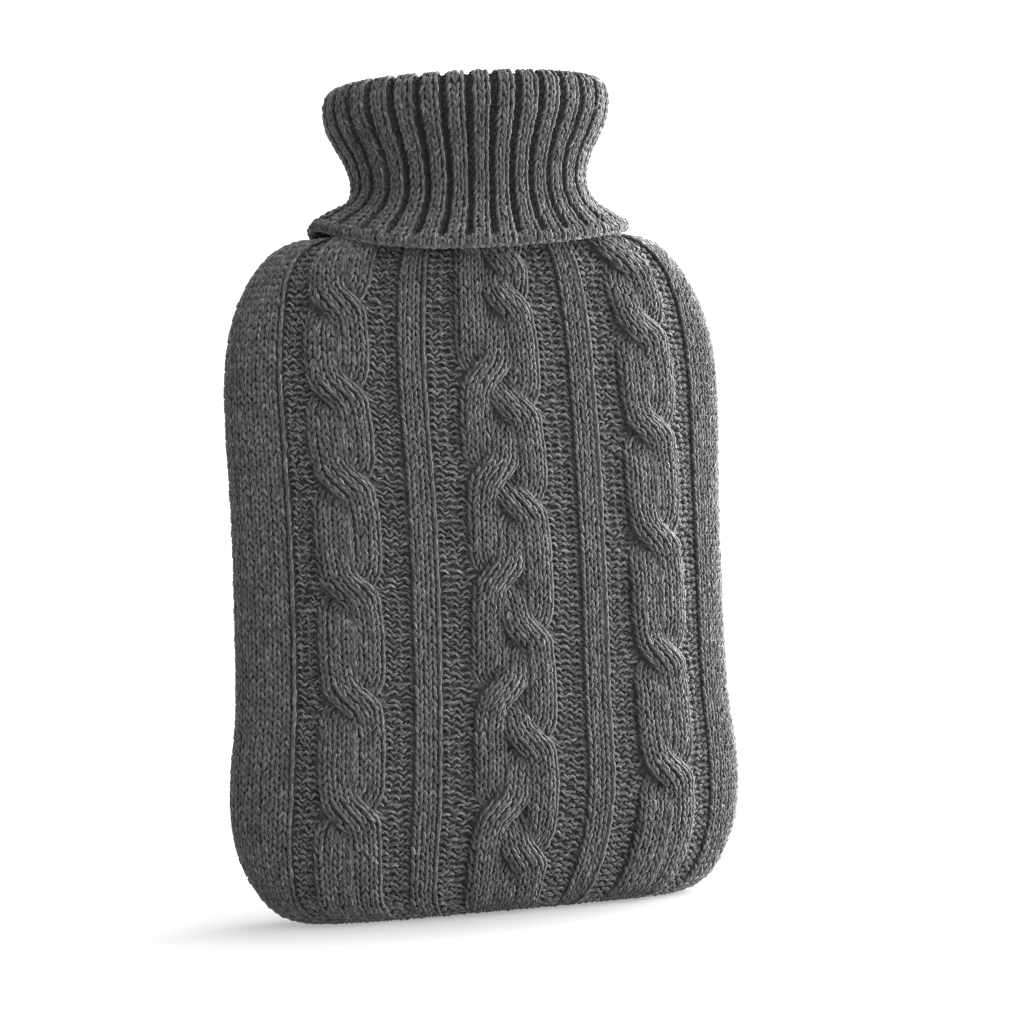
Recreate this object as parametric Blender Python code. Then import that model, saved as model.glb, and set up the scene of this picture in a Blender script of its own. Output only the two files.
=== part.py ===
"""Knitted cover of a two-litre hot water bottle, standing on its closed end.

Metres, +Z up, cables towards -Y. The origin is the middle of the flat base.
A cabled front panel and a plain back panel meet along both sides and under
the base. A ribbed roll neck rises from their top edge, turns over at a
rounded fold and comes down outside itself to a flared cast-off edge. The
cover keeps the form of the filled bottle that it was stretched over.
"""

import math
from typing import Callable, NamedTuple

import bmesh
import bpy
import numpy as np
from mathutils import Vector

MM = 0.001

# Clearances and cloth
PIECE_GAP = 0.3 * MM  # between neighbouring pieces
PANEL_WALL = 4.0 * MM  # knitted cloth of the panels, at the border's level
NECK_WALL = 4.2 * MM  # ribbed cloth of the neck, at the ribs' crests

# Layout across the front, as distances from its centre line on cloth that
# measures CLOTH_HALF from the centre line to a side seam
CLOTH_HALF = 116.5 * MM
BORDER_EDGE = 88.5 * MM  # inner edge of the plain border at each side
CABLE_PLACE = 66.3 * MM
RIB_PLACE = 36.1 * MM
RIB_HALF = 5.4 * MM

# Relief, from the level of the plain border
GROUND = -1.7 * MM  # the purl ground that everything stands on
RIB_RISE = 0.3 * MM
STRAND_RISE = 2.1 * MM  # crown of a cable strand between crossings
STRAND_LIFT = 2.0 * MM  # further rise of the upper strand at a crossing
EDGE_RUN = 1.4 * MM  # over this width the ground steps up to a band
SOFT_REACH = 1.3 * MM  # the relief is evened out this far to each side
FLAT_BELOW = 14.0 * MM  # the relief is pressed flat towards the floor
TUCK_TOP = 276.0 * MM  # under the turned-down neck the cloth is drawn in flat
TUCK_RUN = 12.0 * MM

# Base
SEAM_INSET = 14.0 * MM  # the base seam ends this far inside the flat's ends

# Mesh steps
PLAIT_ROW_STEP = 4.2 * MM
BAND_ROW_STEP = 11.0 * MM
LINING_ROW_STEP = 15.0 * MM
LINING_COLUMNS = 15
BACK_COLUMNS = 27


class Section(NamedTuple):
    """One level section of the filled body, in millimetres."""

    height: float
    half_width: float
    half_depth: float
    squareness: float  # exponent of the superellipse: 2 is an ellipse
    lean: float = 0.0  # how much higher it stands at the right than at the middle


BODY_SECTIONS = (
    Section(0.0, 79.0, 15.0, 2.9),
    Section(1.6, 86.3, 18.6, 2.8),
    Section(6.5, 94.0, 22.3, 2.7),
    Section(15.0, 100.6, 25.2, 2.6),
    Section(26.0, 105.9, 27.2, 2.5),
    Section(40.0, 109.0, 28.5, 2.4),
    Section(55.0, 109.1, 29.3, 2.35),
    Section(82.0, 106.1, 30.0, 2.3),
    Section(123.0, 105.0, 30.2, 2.27),
    Section(165.0, 105.0, 30.0, 2.27),
    Section(200.0, 106.0, 29.4, 2.27),
    Section(220.0, 105.5, 29.0, 2.25),
    Section(236.0, 102.8, 29.0, 2.2),
    Section(249.0, 98.0, 29.6, 2.1),
    Section(260.2, 91.0, 30.0, 2.0, 0.3),
    Section(267.8, 83.5, 29.4, 1.85, 0.8),
    Section(271.0, 77.0, 29.0, 1.8, 1.0),
    Section(272.9, 66.5, 29.0, 1.8, 1.0),
    Section(276.0, 55.0, 29.8, 1.9, 0.8),
    Section(282.9, 46.5, 31.2, 2.0, 0.4),
    Section(293.0, 41.5, 31.0, 2.0),
)


class Draw(NamedTuple):
    """How the cloth's columns are drawn aside at one height, in millimetres."""

    height: float
    shift: float  # the middle ones, to the right
    spread: float  # those beside the borders, away from the middle


DRAWS = (
    Draw(0.0, -6.5, 5.0),
    Draw(8.0, -6.0, 5.0),
    Draw(18.0, -4.0, 3.0),
    Draw(45.0, -0.5, 0.0),
    Draw(80.0, 0.0, 0.0),
    Draw(160.0, 0.0, 0.0),
    Draw(206.0, -1.5, 0.0),
    Draw(246.0, -3.0, 2.5),
    Draw(256.0, -3.8, 4.5),
    Draw(266.0, -4.6, 6.0),
    Draw(293.0, -4.6, 6.0),
)
SPREAD_PEAK = 0.186  # the highest value of share cubed times 1 - share squared


class Turn(NamedTuple):
    """One ring of the neck's cloth, measured at mid-thickness, in millimetres."""

    height: float
    half_width: float
    half_depth: float
    front_drop: float  # how much lower the ring hangs at the front and back
    lean: float  # how much higher it stands at the right than at the middle


NECK_JOIN = BODY_SECTIONS[-1].height + PIECE_GAP / MM
NECK_TURNS = (
    Turn(NECK_JOIN, 39.5, 29.0, 0.0, 0.0),
    Turn(302.0, 38.4, 28.2, 0.0, 0.3),
    Turn(312.0, 40.6, 30.0, 0.0, 0.9),
    Turn(321.0, 44.6, 33.6, 0.0, 1.4),
    Turn(328.0, 47.6, 36.4, 0.0, 1.7),
    Turn(331.6, 49.6, 38.4, 0.0, 1.8),
    Turn(332.9, 52.9, 41.0, 0.0, 1.8),
    Turn(331.4, 55.6, 43.2, 0.0, 1.8),
    Turn(327.5, 56.8, 44.0, 0.0, 1.7),
    Turn(320.5, 56.4, 43.2, 0.0, 1.6),
    Turn(313.0, 53.1, 40.4, 0.2, 1.4),
    Turn(305.5, 48.9, 37.6, 0.6, 1.2),
    Turn(297.5, 46.7, 36.0, 1.6, 1.1),
    Turn(291.5, 47.0, 35.8, 3.2, 1.0),
    Turn(286.5, 50.3, 36.7, 5.0, 0.8),
    Turn(282.2, 57.3, 38.4, 7.4, 0.4),
    Turn(278.8, 64.2, 40.4, 9.7, 0.4),
    Turn(277.1, 67.1, 41.4, 10.7, 0.4),
)
DROP_POWER = 1.3  # how soon a ring drops on its way from the side to the front
DROP_SKEW = 0.38  # share by which it drops more at the left and less at the right
NECK_SQUARENESS = 2.2  # exponent of the rings' superellipse
NECK_SHIFT = -0.7 * MM  # the rings' middle, from the body's
FOLD_TURN = 6  # the row of NECK_TURNS at the crest of the fold
NECK_RIBS = 32
RIB_VALLEY = 2.7 * MM
RIB_CREST_SHARE = 0.31  # half of the crest, as a share of the rib pitch
RIB_FOOT_SHARE = 0.44  # where the valley's floor begins
LIP_SHARE = 0.022  # share of the cloth's path that the smooth cast-off edge takes
INSIDE_RIB_SHARE = 0.5  # depth of the ribs on the inside of the mouth and on the fold
FOLD_RUN = 9.0  # the ribs reach their full depth this far past the fold


class Crossing(NamedTuple):
    """Two neighbouring strands change places, in millimetres of height."""

    height: float
    left_place: int  # index of the left one of the two places
    upper_moves: int  # +1 if the upper strand goes right on its way down, else -1


class Plait(NamedTuple):
    """A rope cable or a braid on the front, in millimetres."""

    centre: float
    places: tuple[float, ...]
    strand_half: float
    crossings: tuple[Crossing, ...]


ROPE_PLACES = (-6.0, 6.0)
ROPE_STRAND_HALF = 7.1
BRAID_PLACES = (-10.9, 0.0, 10.9)
BRAID_STRAND_HALF = 6.8
CROSSING_HALF = 10.5  # a crossing takes this much height up and down
QUICK_HALF = 7.0  # the upper strand goes one share of its way in this height,
SLOW_HALF = 18.0  # and the rest in this one, which rounds the lobes between crossings
QUICK_SHARE = 0.55
LEFT_ROPE_HEIGHTS = (244.6, 210.2, 174.4, 132.4, 89.5, 45.0)
RIGHT_ROPE_HEIGHTS = (261.0, 233.0, 192.2, 148.2, 100.0, 52.8)
BRAID_RIGHT_HEIGHTS = (261.0, 244.0, 201.6, 162.6, 112.0, 68.8, 23.0)
BRAID_LEFT_HEIGHTS = (216.2, 176.8, 136.0, 90.0, 43.2)

PLAITS = (
    Plait(
        -CABLE_PLACE / MM,
        ROPE_PLACES,
        ROPE_STRAND_HALF,
        tuple(Crossing(height, 0, 1) for height in LEFT_ROPE_HEIGHTS),
    ),
    Plait(
        0.0,
        BRAID_PLACES,
        BRAID_STRAND_HALF,
        tuple(
            sorted(
                [Crossing(height, 1, 1) for height in BRAID_RIGHT_HEIGHTS]
                + [Crossing(height, 0, -1) for height in BRAID_LEFT_HEIGHTS],
                reverse=True,
            )
        ),
    ),
    Plait(
        CABLE_PLACE / MM,
        ROPE_PLACES,
        ROPE_STRAND_HALF,
        tuple(Crossing(height, 0, 1) for height in RIGHT_ROPE_HEIGHTS),
    ),
)

# Yarn: charcoal grey wool blend, heathered
YARN_COLOUR = (0.088, 0.088, 0.086, 1.0)
YARN_ROUGHNESS = 0.9
SHARP_ANGLE = math.radians(60.0)  # only creases sharper than this are shaded sharp


def clear_scene() -> None:
    """Removes every object of the scene."""
    for thing in list(bpy.data.objects):
        bpy.data.objects.remove(thing, do_unlink=True)


def smooth_step(value: float) -> float:
    """Eases from 0 to 1 as value goes from 0 to 1."""
    value = min(1.0, max(0.0, value))
    return value * value * (3.0 - 2.0 * value)


class SmoothTable:
    """A smooth line through the rows of a table, by the distance along them.

    Args:
        rows: The table's rows, in order.
        measure: How many leading columns the distance is measured in.
    """

    def __init__(self, rows: tuple, measure: int) -> None:
        self.values = np.array(rows, float)
        steps = np.linalg.norm(np.diff(self.values[:, :measure], axis=0), axis=1)
        self.along = np.concatenate([[0.0], np.cumsum(steps)])
        self.slopes = np.gradient(self.values, self.along, axis=0)
        self.length = float(self.along[-1])

    def at(self, distance: float) -> np.ndarray:
        """Returns the columns at a distance along the table."""
        distance = min(self.length, max(0.0, distance))
        index = int(np.searchsorted(self.along, distance, side="right")) - 1
        index = min(len(self.along) - 2, max(0, index))
        span = self.along[index + 1] - self.along[index]
        t = (distance - self.along[index]) / span
        start, end = self.values[index], self.values[index + 1]
        leave, arrive = self.slopes[index] * span, self.slopes[index + 1] * span
        return (
            start * (2 * t**3 - 3 * t**2 + 1)
            + leave * (t**3 - 2 * t**2 + t)
            + end * (3 * t**2 - 2 * t**3)
            + arrive * (t**3 - t**2)
        )


class Arch:
    """The front half of a superellipse, from its left end to its right end.

    Points are found by their share of the arch's length, -1 at the left end
    and 1 at the right one, which is how knitted columns share out the cloth.
    """

    SAMPLES = 241

    def __init__(self, half_width: float, half_depth: float, squareness: float) -> None:
        self.half_width = half_width
        angle = np.linspace(-math.pi / 2, math.pi / 2, self.SAMPLES)
        power = 2.0 / squareness
        self.across = half_width * np.sign(angle) * np.abs(np.sin(angle)) ** power
        self.depth = half_depth * np.abs(np.cos(angle)) ** power
        steps = np.hypot(np.diff(self.across), np.diff(self.depth))
        run = np.concatenate([[0.0], np.cumsum(steps)])
        self.share = run / run[-1] * 2.0 - 1.0

    def at(self, share: float) -> tuple[float, float]:
        """Returns (across, depth) at a share of the arch's length."""
        return (
            float(np.interp(share, self.share, self.across)),
            float(np.interp(share, self.share, self.depth)),
        )


class Body:
    """The surface of the filled body, before any relief.

    A place on it is a share across, from seam to seam, and a distance along:
    from 0 at the base seam, over the flat of the base, and up the side.
    """

    STEP = 0.5 * MM  # the surface's slope is measured over this distance
    SHARE_STEP = 0.01  # and over this share across
    FLAT_SHARE = 0.9  # share of the base's flat that faces straight down

    def __init__(self) -> None:
        self.table = SmoothTable(BODY_SECTIONS, 2)
        self.draws = SmoothTable(DRAWS, 1)
        self.foot = BODY_SECTIONS[0].half_depth * MM
        self.length = self.foot + self.table.length * MM
        self.arches: dict[int, tuple[Arch, Section, Draw]] = {}

    def arch(self, along: float) -> tuple[Arch, Section, Draw]:
        """Returns the arch at a distance along the body, and its table rows."""
        key = round(along / MM * 1000.0)
        if key not in self.arches:
            section = Section(*self.table.at((along - self.foot) / MM))
            half_width, depth = section.half_width * MM, section.half_depth * MM
            if along < self.foot:
                half_width -= SEAM_INSET * (1.0 - along / self.foot)
                depth = along
            arch = Arch(half_width, depth, section.squareness)
            self.arches[key] = (arch, section, Draw(*self.draws.at(section.height)))
        return self.arches[key]

    def height(self, along: float) -> float:
        """Returns the height above the floor at a distance along the body."""
        return self.arch(along)[1].height * MM

    def point(self, share: float, along: float) -> Vector:
        """Returns a point of the front half, which reaches to y = 0."""
        arch, section, draw = self.arch(along)
        moved = draw.shift * MM * (1.0 - share**4)
        moved += draw.spread * MM * share**3 * (1.0 - share**2) / SPREAD_PEAK
        across, depth = arch.at(share + moved / CLOTH_HALF)
        height = section.height + section.lean * across / arch.half_width
        return Vector((across, -depth, height * MM))

    def normal(self, share: float, along: float) -> Vector:
        """Returns the outward direction at a place on the front half."""
        if along < self.foot * self.FLAT_SHARE:
            return Vector((0.0, 0.0, -1.0))
        low = max(-1.0, share - self.SHARE_STEP)
        high = min(1.0, share + self.SHARE_STEP)
        under = max(0.0, along - self.STEP)
        over = min(self.length, along + self.STEP)
        across = self.point(high, along) - self.point(low, along)
        upward = self.point(share, over) - self.point(share, under)
        outward = across.cross(upward)
        if abs(share) == 1.0:
            outward.y = 0.0
        return outward.normalized()

    def rows(self, step: float) -> list[float]:
        """Returns distances along the body, about a step apart.

        Args:
            step: The wanted distance between rows, in metres.

        Returns:
            Rows from the base seam to the top edge, with one on the base's rim.
        """
        count = max(2, round(self.foot / step))
        base = list(np.linspace(0.0, self.foot, count + 1)[:-1])
        count = round((self.length - self.foot) / step)
        return base + list(np.linspace(self.foot, self.length, count + 1))


def share_crossed(below: float, upper: bool) -> float:
    """Returns the share of its way across that a strand has gone.

    Args:
        below: How far under the crossing's middle it has come, in mm.
        upper: Whether it is the upper strand, which takes the rounder way.
    """
    if not upper:
        return smooth_step(below / (2.0 * CROSSING_HALF) + 0.5)
    quick = smooth_step(below / (2.0 * QUICK_HALF) + 0.5)
    slow = smooth_step(below / (2.0 * SLOW_HALF) + 0.5)
    return QUICK_SHARE * quick + (1.0 - QUICK_SHARE) * slow


class Strand:
    """One strand of a plait, followed from the top to the base."""

    def __init__(self, plait: Plait, start: int) -> None:
        self.plait = plait
        self.moves: list[tuple[float, int, int, int]] = []
        place = start
        for crossing in plait.crossings:
            left, right = crossing.left_place, crossing.left_place + 1
            if place not in (left, right):
                continue
            target = right if place == left else left
            upper = 1 if (target > place) == (crossing.upper_moves > 0) else -1
            self.moves.append((crossing.height, place, target, upper))
            place = target
        self.start = start

    def across(self, height: float) -> float:
        """Returns the strand's distance from the plait's centre, in mm."""
        places = self.plait.places
        where = places[self.start]
        for level, source, target, upper in self.moves:
            gone = share_crossed(level - height, upper > 0)
            where += gone * (places[target] - places[source])
        return where

    def lift(self, height: float) -> float:
        """Returns 1 where the strand is on top, -1 where it is under, else 0."""
        total = 0.0
        for level, _, _, upper in self.moves:
            share = abs(height - level) / CROSSING_HALF
            total += upper * (1.0 - smooth_step(share))
        return total

    def rise(self, across: float, height: float) -> float:
        """Returns the strand's height over the border's level, in metres.

        Args:
            across: Distance from the plait's centre, in mm.
            height: Height above the floor, in mm.

        Returns:
            The height, or the ground's where the strand doesn't reach.
        """
        slant = self.across(height + 0.5) - self.across(height - 0.5)
        offset = abs(across - self.across(height)) / math.hypot(1.0, slant)
        share = offset / self.plait.strand_half
        if share >= 1.0:
            return GROUND
        crown = STRAND_RISE + STRAND_LIFT * self.lift(height)
        return GROUND + (crown - GROUND) * math.sqrt(1.0 - share**4)


def front_relief(plaits: list[list[Strand]]) -> Callable[[float, float], float]:
    """Makes the function that gives the front's relief.

    Args:
        plaits: The strands of each plait.

    Returns:
        A function of the share across and the height in metres, which
        returns the distance over the border's level in metres.
    """

    def relief(share: float, height: float) -> float:
        across = share * CLOTH_HALF
        level = GROUND
        border = smooth_step((abs(across) - BORDER_EDGE) / EDGE_RUN + 0.5)
        level += border * -GROUND
        rib = (RIB_HALF - abs(abs(across) - RIB_PLACE)) / EDGE_RUN + 0.5
        level += smooth_step(rib) * (RIB_RISE - GROUND)
        for strands in plaits:
            centre = strands[0].plait.centre
            for strand in strands:
                level = max(level, strand.rise(across / MM - centre, height / MM))
        level = GROUND + (level - GROUND) * smooth_step((TUCK_TOP - height) / TUCK_RUN)
        return level * smooth_step(height / FLAT_BELOW)

    return relief


def softened(relief: Callable[[float, float], float]) -> Callable[[float, float], float]:
    """Evens a relief out over a stitch, so that slanting edges stay smooth."""
    steps = (-SOFT_REACH, 0.0, SOFT_REACH)

    def soft_relief(share: float, height: float) -> float:
        total = 0.0
        for across in steps:
            for up in steps:
                beside = min(1.0, max(-1.0, share + across / CLOTH_HALF))
                total += relief(beside, max(0.0, height + up * min(1.0, height / SOFT_REACH)))
        return total / len(steps) ** 2

    return soft_relief


def plain_relief(share: float, height: float) -> float:
    """The plain back lies at the border's level everywhere."""
    return 0.0


class Band(NamedTuple):
    """Neighbouring columns of a face that share their rows."""

    columns: list[float]  # shares across
    row_step: float


def span(centre: float, half: float, count: int) -> list[float]:
    """Returns shares across for even columns over a stretch of cloth.

    Args:
        centre: The stretch's middle, in metres from the centre line.
        half: Half of its width.
        count: How many columns it gets.
    """
    return list(np.linspace(centre - half, centre + half, count) / CLOTH_HALF)


def front_bands() -> list[Band]:
    """Returns the front's bands: plain ones are coarse and plaits are fine."""
    run = EDGE_RUN / 2
    rope_half = (ROPE_PLACES[-1] + ROPE_STRAND_HALF) * MM
    braid_half = (BRAID_PLACES[-1] + BRAID_STRAND_HALF) * MM
    rib = [RIB_PLACE - RIB_HALF - run, RIB_PLACE - RIB_HALF + run]
    rib += [2 * RIB_PLACE - place for place in reversed(rib)]
    border = [BORDER_EDGE - run, *np.linspace(BORDER_EDGE + run, CLOTH_HALF, 6)]
    right = [
        Band([place / CLOTH_HALF for place in rib], BAND_ROW_STEP),
        Band(span(CABLE_PLACE, rope_half, 9), PLAIT_ROW_STEP),
        Band([place / CLOTH_HALF for place in border], BAND_ROW_STEP),
    ]
    left = [
        Band([-share for share in reversed(band.columns)], band.row_step)
        for band in reversed(right)
    ]
    return left + [Band(span(0.0, braid_half, 12), PLAIT_ROW_STEP)] + right


def even_columns(count: int) -> list[float]:
    """Returns shares across, closer together at the round side edges."""
    return [math.sin(t * math.pi / 2) for t in np.linspace(-1.0, 1.0, count)]


class Shell:
    """The two sides of one panel's cloth, in one mesh.

    Args:
        body: The surface that the cloth lies on.
        side: -1 for the front half and 1 for the back half.
    """

    def __init__(self, body: Body, side: int) -> None:
        self.body = body
        self.side = side
        self.mesh = bmesh.new()

    def sheet(
        self,
        columns: list[float],
        rows: list[float],
        depth: Callable[[float, float], float],
    ) -> list[list[bmesh.types.BMVert]]:
        """Adds the points of one face.

        Args:
            columns: Shares across.
            rows: Distances along the body.
            depth: Height over the body's surface at a share and a height.

        Returns:
            The points, a list for each row.
        """
        grid = []
        for along in rows:
            line = []
            for share in columns:
                base = self.body.point(share, along)
                out = self.body.normal(share, along)
                place = base + out * depth(share, base.z)
                if along in (rows[0], rows[-1]):
                    place.z = base.z + out.z * depth(share, base.z) * (along == rows[0])
                y = min(place.y, 0.0) - PIECE_GAP / 2
                line.append(self.mesh.verts.new((place.x, -self.side * y, place.z)))
            grid.append(line)
        return grid

    def face(self, grid: list[list[bmesh.types.BMVert]], outward: bool) -> None:
        """Covers a grid of points with triangles."""
        for low, high in zip(grid, grid[1:]):
            for i in range(len(low) - 1):
                quad = [low[i], low[i + 1], high[i + 1], high[i]]
                if outward == (self.side > 0):
                    quad.reverse()
                first = (quad[0].co - quad[2].co).length
                second = (quad[1].co - quad[3].co).length
                if first > second:
                    quad = quad[1:] + quad[:1]
                self.mesh.faces.new((quad[0], quad[1], quad[2]))
                self.mesh.faces.new((quad[0], quad[2], quad[3]))

    def cover(
        self, bands: list[Band], depth: Callable[[float, float], float], outward: bool
    ) -> list[list[bmesh.types.BMVert]]:
        """Adds a whole side of the cloth, band by band.

        Args:
            bands: The side's bands, from left to right.
            depth: Height over the body's surface at a share and a height.
            outward: Whether the side looks outwards.

        Returns:
            Its base, top, left and right edges, as lines of points.
        """
        grids = []
        for band in bands:
            rows = self.body.rows(band.row_step)
            grids.append(self.sheet(band.columns, rows, depth))
            self.face(grids[-1], outward)
        for left, right in zip(grids, grids[1:]):
            zip_lines(self.mesh, [row[-1] for row in left], [row[0] for row in right])
        base = [point for grid in grids for point in grid[0]]
        top = [point for grid in grids for point in grid[-1]]
        left_edge = [row[0] for row in grids[0]]
        right_edge = [row[-1] for row in grids[-1]]
        return [base, top, left_edge, right_edge]


def zip_lines(
    mesh: bmesh.types.BMesh,
    first: list[bmesh.types.BMVert],
    second: list[bmesh.types.BMVert],
) -> None:
    """Fills the strip between two lines of points with triangles.

    Args:
        mesh: The mesh that the lines belong to.
        first: One line of points.
        second: The other one, running the same way.
    """
    i, j = 0, 0
    while i < len(first) - 1 or j < len(second) - 1:
        step_first = j == len(second) - 1
        if i < len(first) - 1 and not step_first:
            ahead = (first[i + 1].co - second[j].co).length
            across = (first[i].co - second[j + 1].co).length
            step_first = ahead <= across
        if step_first:
            mesh.faces.new((first[i], first[i + 1], second[j]))
            i += 1
        else:
            mesh.faces.new((first[i], second[j + 1], second[j]))
            j += 1


def yarn_material(name: str) -> bpy.types.Material:
    """Makes the heathered grey yarn's material."""
    material = bpy.data.materials.new(name)
    material.use_nodes = True
    shader = material.node_tree.nodes["Principled BSDF"]
    shader.inputs["Base Color"].default_value = YARN_COLOUR
    shader.inputs["Roughness"].default_value = YARN_ROUGHNESS
    shader.inputs["Metallic"].default_value = 0.0
    return material


def add_object(name: str, mesh: bmesh.types.BMesh) -> bpy.types.Object:
    """Puts a finished mesh into the scene, smooth shaded, faces outwards."""
    bmesh.ops.recalc_face_normals(mesh, faces=mesh.faces)
    data = bpy.data.meshes.new(name)
    mesh.to_mesh(data)
    mesh.free()
    data.shade_smooth()
    data.set_sharp_from_angle(angle=SHARP_ANGLE)
    data.materials.append(yarn_material(name + "_yarn"))
    thing = bpy.data.objects.new(name, data)
    bpy.context.scene.collection.objects.link(thing)
    return thing


def build_panel(
    name: str,
    side: int,
    bands: list[Band],
    relief: Callable[[float, float], float],
) -> bpy.types.Object:
    """Builds one panel of the body.

    Args:
        name: The object's name.
        side: -1 for the front and 1 for the back.
        bands: The bands of its outer face.
        relief: Height of the outer face over the body's surface.

    Returns:
        The panel.
    """
    shell = Shell(Body(), side)
    outer = shell.cover(bands, relief, True)
    lining = [Band(even_columns(LINING_COLUMNS), LINING_ROW_STEP)]
    inner = shell.cover(lining, lambda share, height: -PANEL_WALL, False)
    for outer_edge, inner_edge in zip(outer, inner):
        zip_lines(shell.mesh, outer_edge, inner_edge)
    return add_object(name, shell.mesh)


class RollNeck:
    """The ribbed neck: one cloth that goes up, folds over and comes down."""

    def __init__(self) -> None:
        self.table = SmoothTable(NECK_TURNS, 2)
        self.mesh = bmesh.new()
        self.fold = self.table.along[FOLD_TURN]

    def direction(self, along: float) -> tuple[float, float]:
        """Returns the cloth's outward side at a distance along its path.

        Args:
            along: Distance along the path, in mm.

        Returns:
            Its share along the half width and its share upwards.
        """
        step = self.table.at(along + 0.5) - self.table.at(along - 0.5)
        if along == 0.0:
            step[1] = 0.0
        length = math.hypot(step[0], step[1])
        return -step[0] / length, step[1] / length

    def rib_share(self, along: float) -> float:
        """Returns how deep the ribs' valleys are, from 0 to 1."""
        left = (self.table.length - along) / self.table.length
        if along < self.fold:
            return INSIDE_RIB_SHARE * smooth_step(along / self.fold)
        past = smooth_step((along - self.fold) / FOLD_RUN)
        share = INSIDE_RIB_SHARE + (1.0 - INSIDE_RIB_SHARE) * past
        return share * smooth_step(left / LIP_SHARE - 1.0)

    def ring(self, along: float, offset: float, turns: list[float]) -> list:
        """Adds one ring of points.

        Args:
            along: Distance along the cloth's path, in mm.
            offset: Distance from mid-thickness, in metres; plus is outwards.
            turns: Shares of the way round, 0 at the front centre.

        Returns:
            The ring's points.
        """
        row = Turn(*self.table.at(along))
        wide, rise = self.direction(along)
        half_width, half_depth = row.half_width * MM, row.half_depth * MM
        outline = Arch(half_width, half_depth, NECK_SQUARENESS)
        valley = RIB_VALLEY * self.rib_share(along) if offset > 0.0 else 0.0
        power = NECK_SQUARENESS - 1.0
        points = []
        for turn in turns:
            share = ((turn * 4.0 + 1.0) % 4.0) - 1.0
            behind = share > 1.0
            x, depth = outline.at(2.0 - share if behind else share)
            y = depth if behind else -depth
            across = math.copysign(abs(x / half_width) ** power / half_width, x)
            ahead = math.copysign(abs(y / half_depth) ** power / half_depth, y)
            outward = Vector((across, ahead)).normalized()
            out = offset - valley * rib_valley(turn)
            drop = row.front_drop * abs(y / half_depth) ** DROP_POWER
            height = row.height - drop * (1.0 - DROP_SKEW * x / half_width)
            height += row.lean * x / half_width
            place = Vector((x + NECK_SHIFT, y)) + outward * out * wide
            points.append(self.mesh.verts.new((*place, height * MM + out * rise)))
        return points

    def build(self) -> bpy.types.Object:
        """Builds the neck as one closed body."""
        fine = rib_turns()
        coarse = [(rib + 0.5) / NECK_RIBS for rib in range(NECK_RIBS)]
        path = sorted([*self.table.along, self.table.length * (1.0 - 2.0 * LIP_SHARE)])
        loops = [self.ring(along, NECK_WALL / 2, fine) for along in path]
        loops += [self.ring(along, -NECK_WALL / 2, coarse) for along in path[::-1]]
        for first, second in zip(loops, loops[1:] + loops[:1]):
            zip_lines(self.mesh, first + first[:1], second + second[:1])
        return add_object("roll_neck", self.mesh)


def rib_turns() -> list[float]:
    """Returns the ways round at which the ribs' four corners lie."""
    corners = (-RIB_CREST_SHARE, RIB_CREST_SHARE, RIB_FOOT_SHARE, 1 - RIB_FOOT_SHARE)
    places = [(rib + corner) / NECK_RIBS for rib in range(NECK_RIBS) for corner in corners]
    return sorted(place % 1.0 for place in places)


def rib_valley(turn: float) -> float:
    """Returns 1 on the floor of a valley between ribs, 0 on a rib's crest."""
    phase = turn * NECK_RIBS
    from_crest = abs(phase - round(phase))
    width = RIB_FOOT_SHARE - RIB_CREST_SHARE
    return smooth_step((from_crest - RIB_CREST_SHARE) / width)


def main() -> None:
    """Builds the three pieces of the cover."""
    clear_scene()
    plaits = [[Strand(plait, k) for k in range(len(plait.places))] for plait in PLAITS]
    relief = softened(front_relief(plaits))
    build_panel("front_panel", -1, front_bands(), relief)
    back_bands = [Band(even_columns(BACK_COLUMNS), BAND_ROW_STEP)]
    build_panel("back_panel", 1, back_bands, plain_relief)
    RollNeck().build()


main()
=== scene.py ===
"""Dresses the knitted cover of a two-litre hot water bottle.

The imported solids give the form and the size. This script lays the cloth over
them as it was knitted: a backing sheet for each piece and, on it, both legs of
every knit stitch and both arcs of every purl stitch, in heathered wool yarn.
"""

import logging
import math
from dataclasses import dataclass
from enum import Enum
from typing import Callable, NamedTuple

import bpy
import numpy as np
from mathutils import Matrix, Vector


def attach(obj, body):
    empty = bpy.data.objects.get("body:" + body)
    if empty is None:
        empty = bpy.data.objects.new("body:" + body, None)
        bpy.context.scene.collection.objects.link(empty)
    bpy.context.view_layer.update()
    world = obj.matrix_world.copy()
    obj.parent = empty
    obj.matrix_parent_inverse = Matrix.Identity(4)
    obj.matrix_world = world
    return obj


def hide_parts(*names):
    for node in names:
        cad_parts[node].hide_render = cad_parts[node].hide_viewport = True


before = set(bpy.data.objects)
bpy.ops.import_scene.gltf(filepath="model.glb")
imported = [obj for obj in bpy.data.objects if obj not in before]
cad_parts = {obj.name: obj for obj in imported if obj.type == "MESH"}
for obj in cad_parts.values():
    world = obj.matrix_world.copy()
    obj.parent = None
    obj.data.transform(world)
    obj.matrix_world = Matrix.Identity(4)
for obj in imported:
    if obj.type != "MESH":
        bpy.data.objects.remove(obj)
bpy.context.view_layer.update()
LOG = logging.getLogger("bottle_cover")

Array = np.ndarray
ByHeight = Callable[[Array], Array]  # a value for each height above the floor, in mm
ByPlace = Callable[[Array, Array], Array]  # and for each place across with its height

MM = 0.001
SEED = 4127

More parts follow.
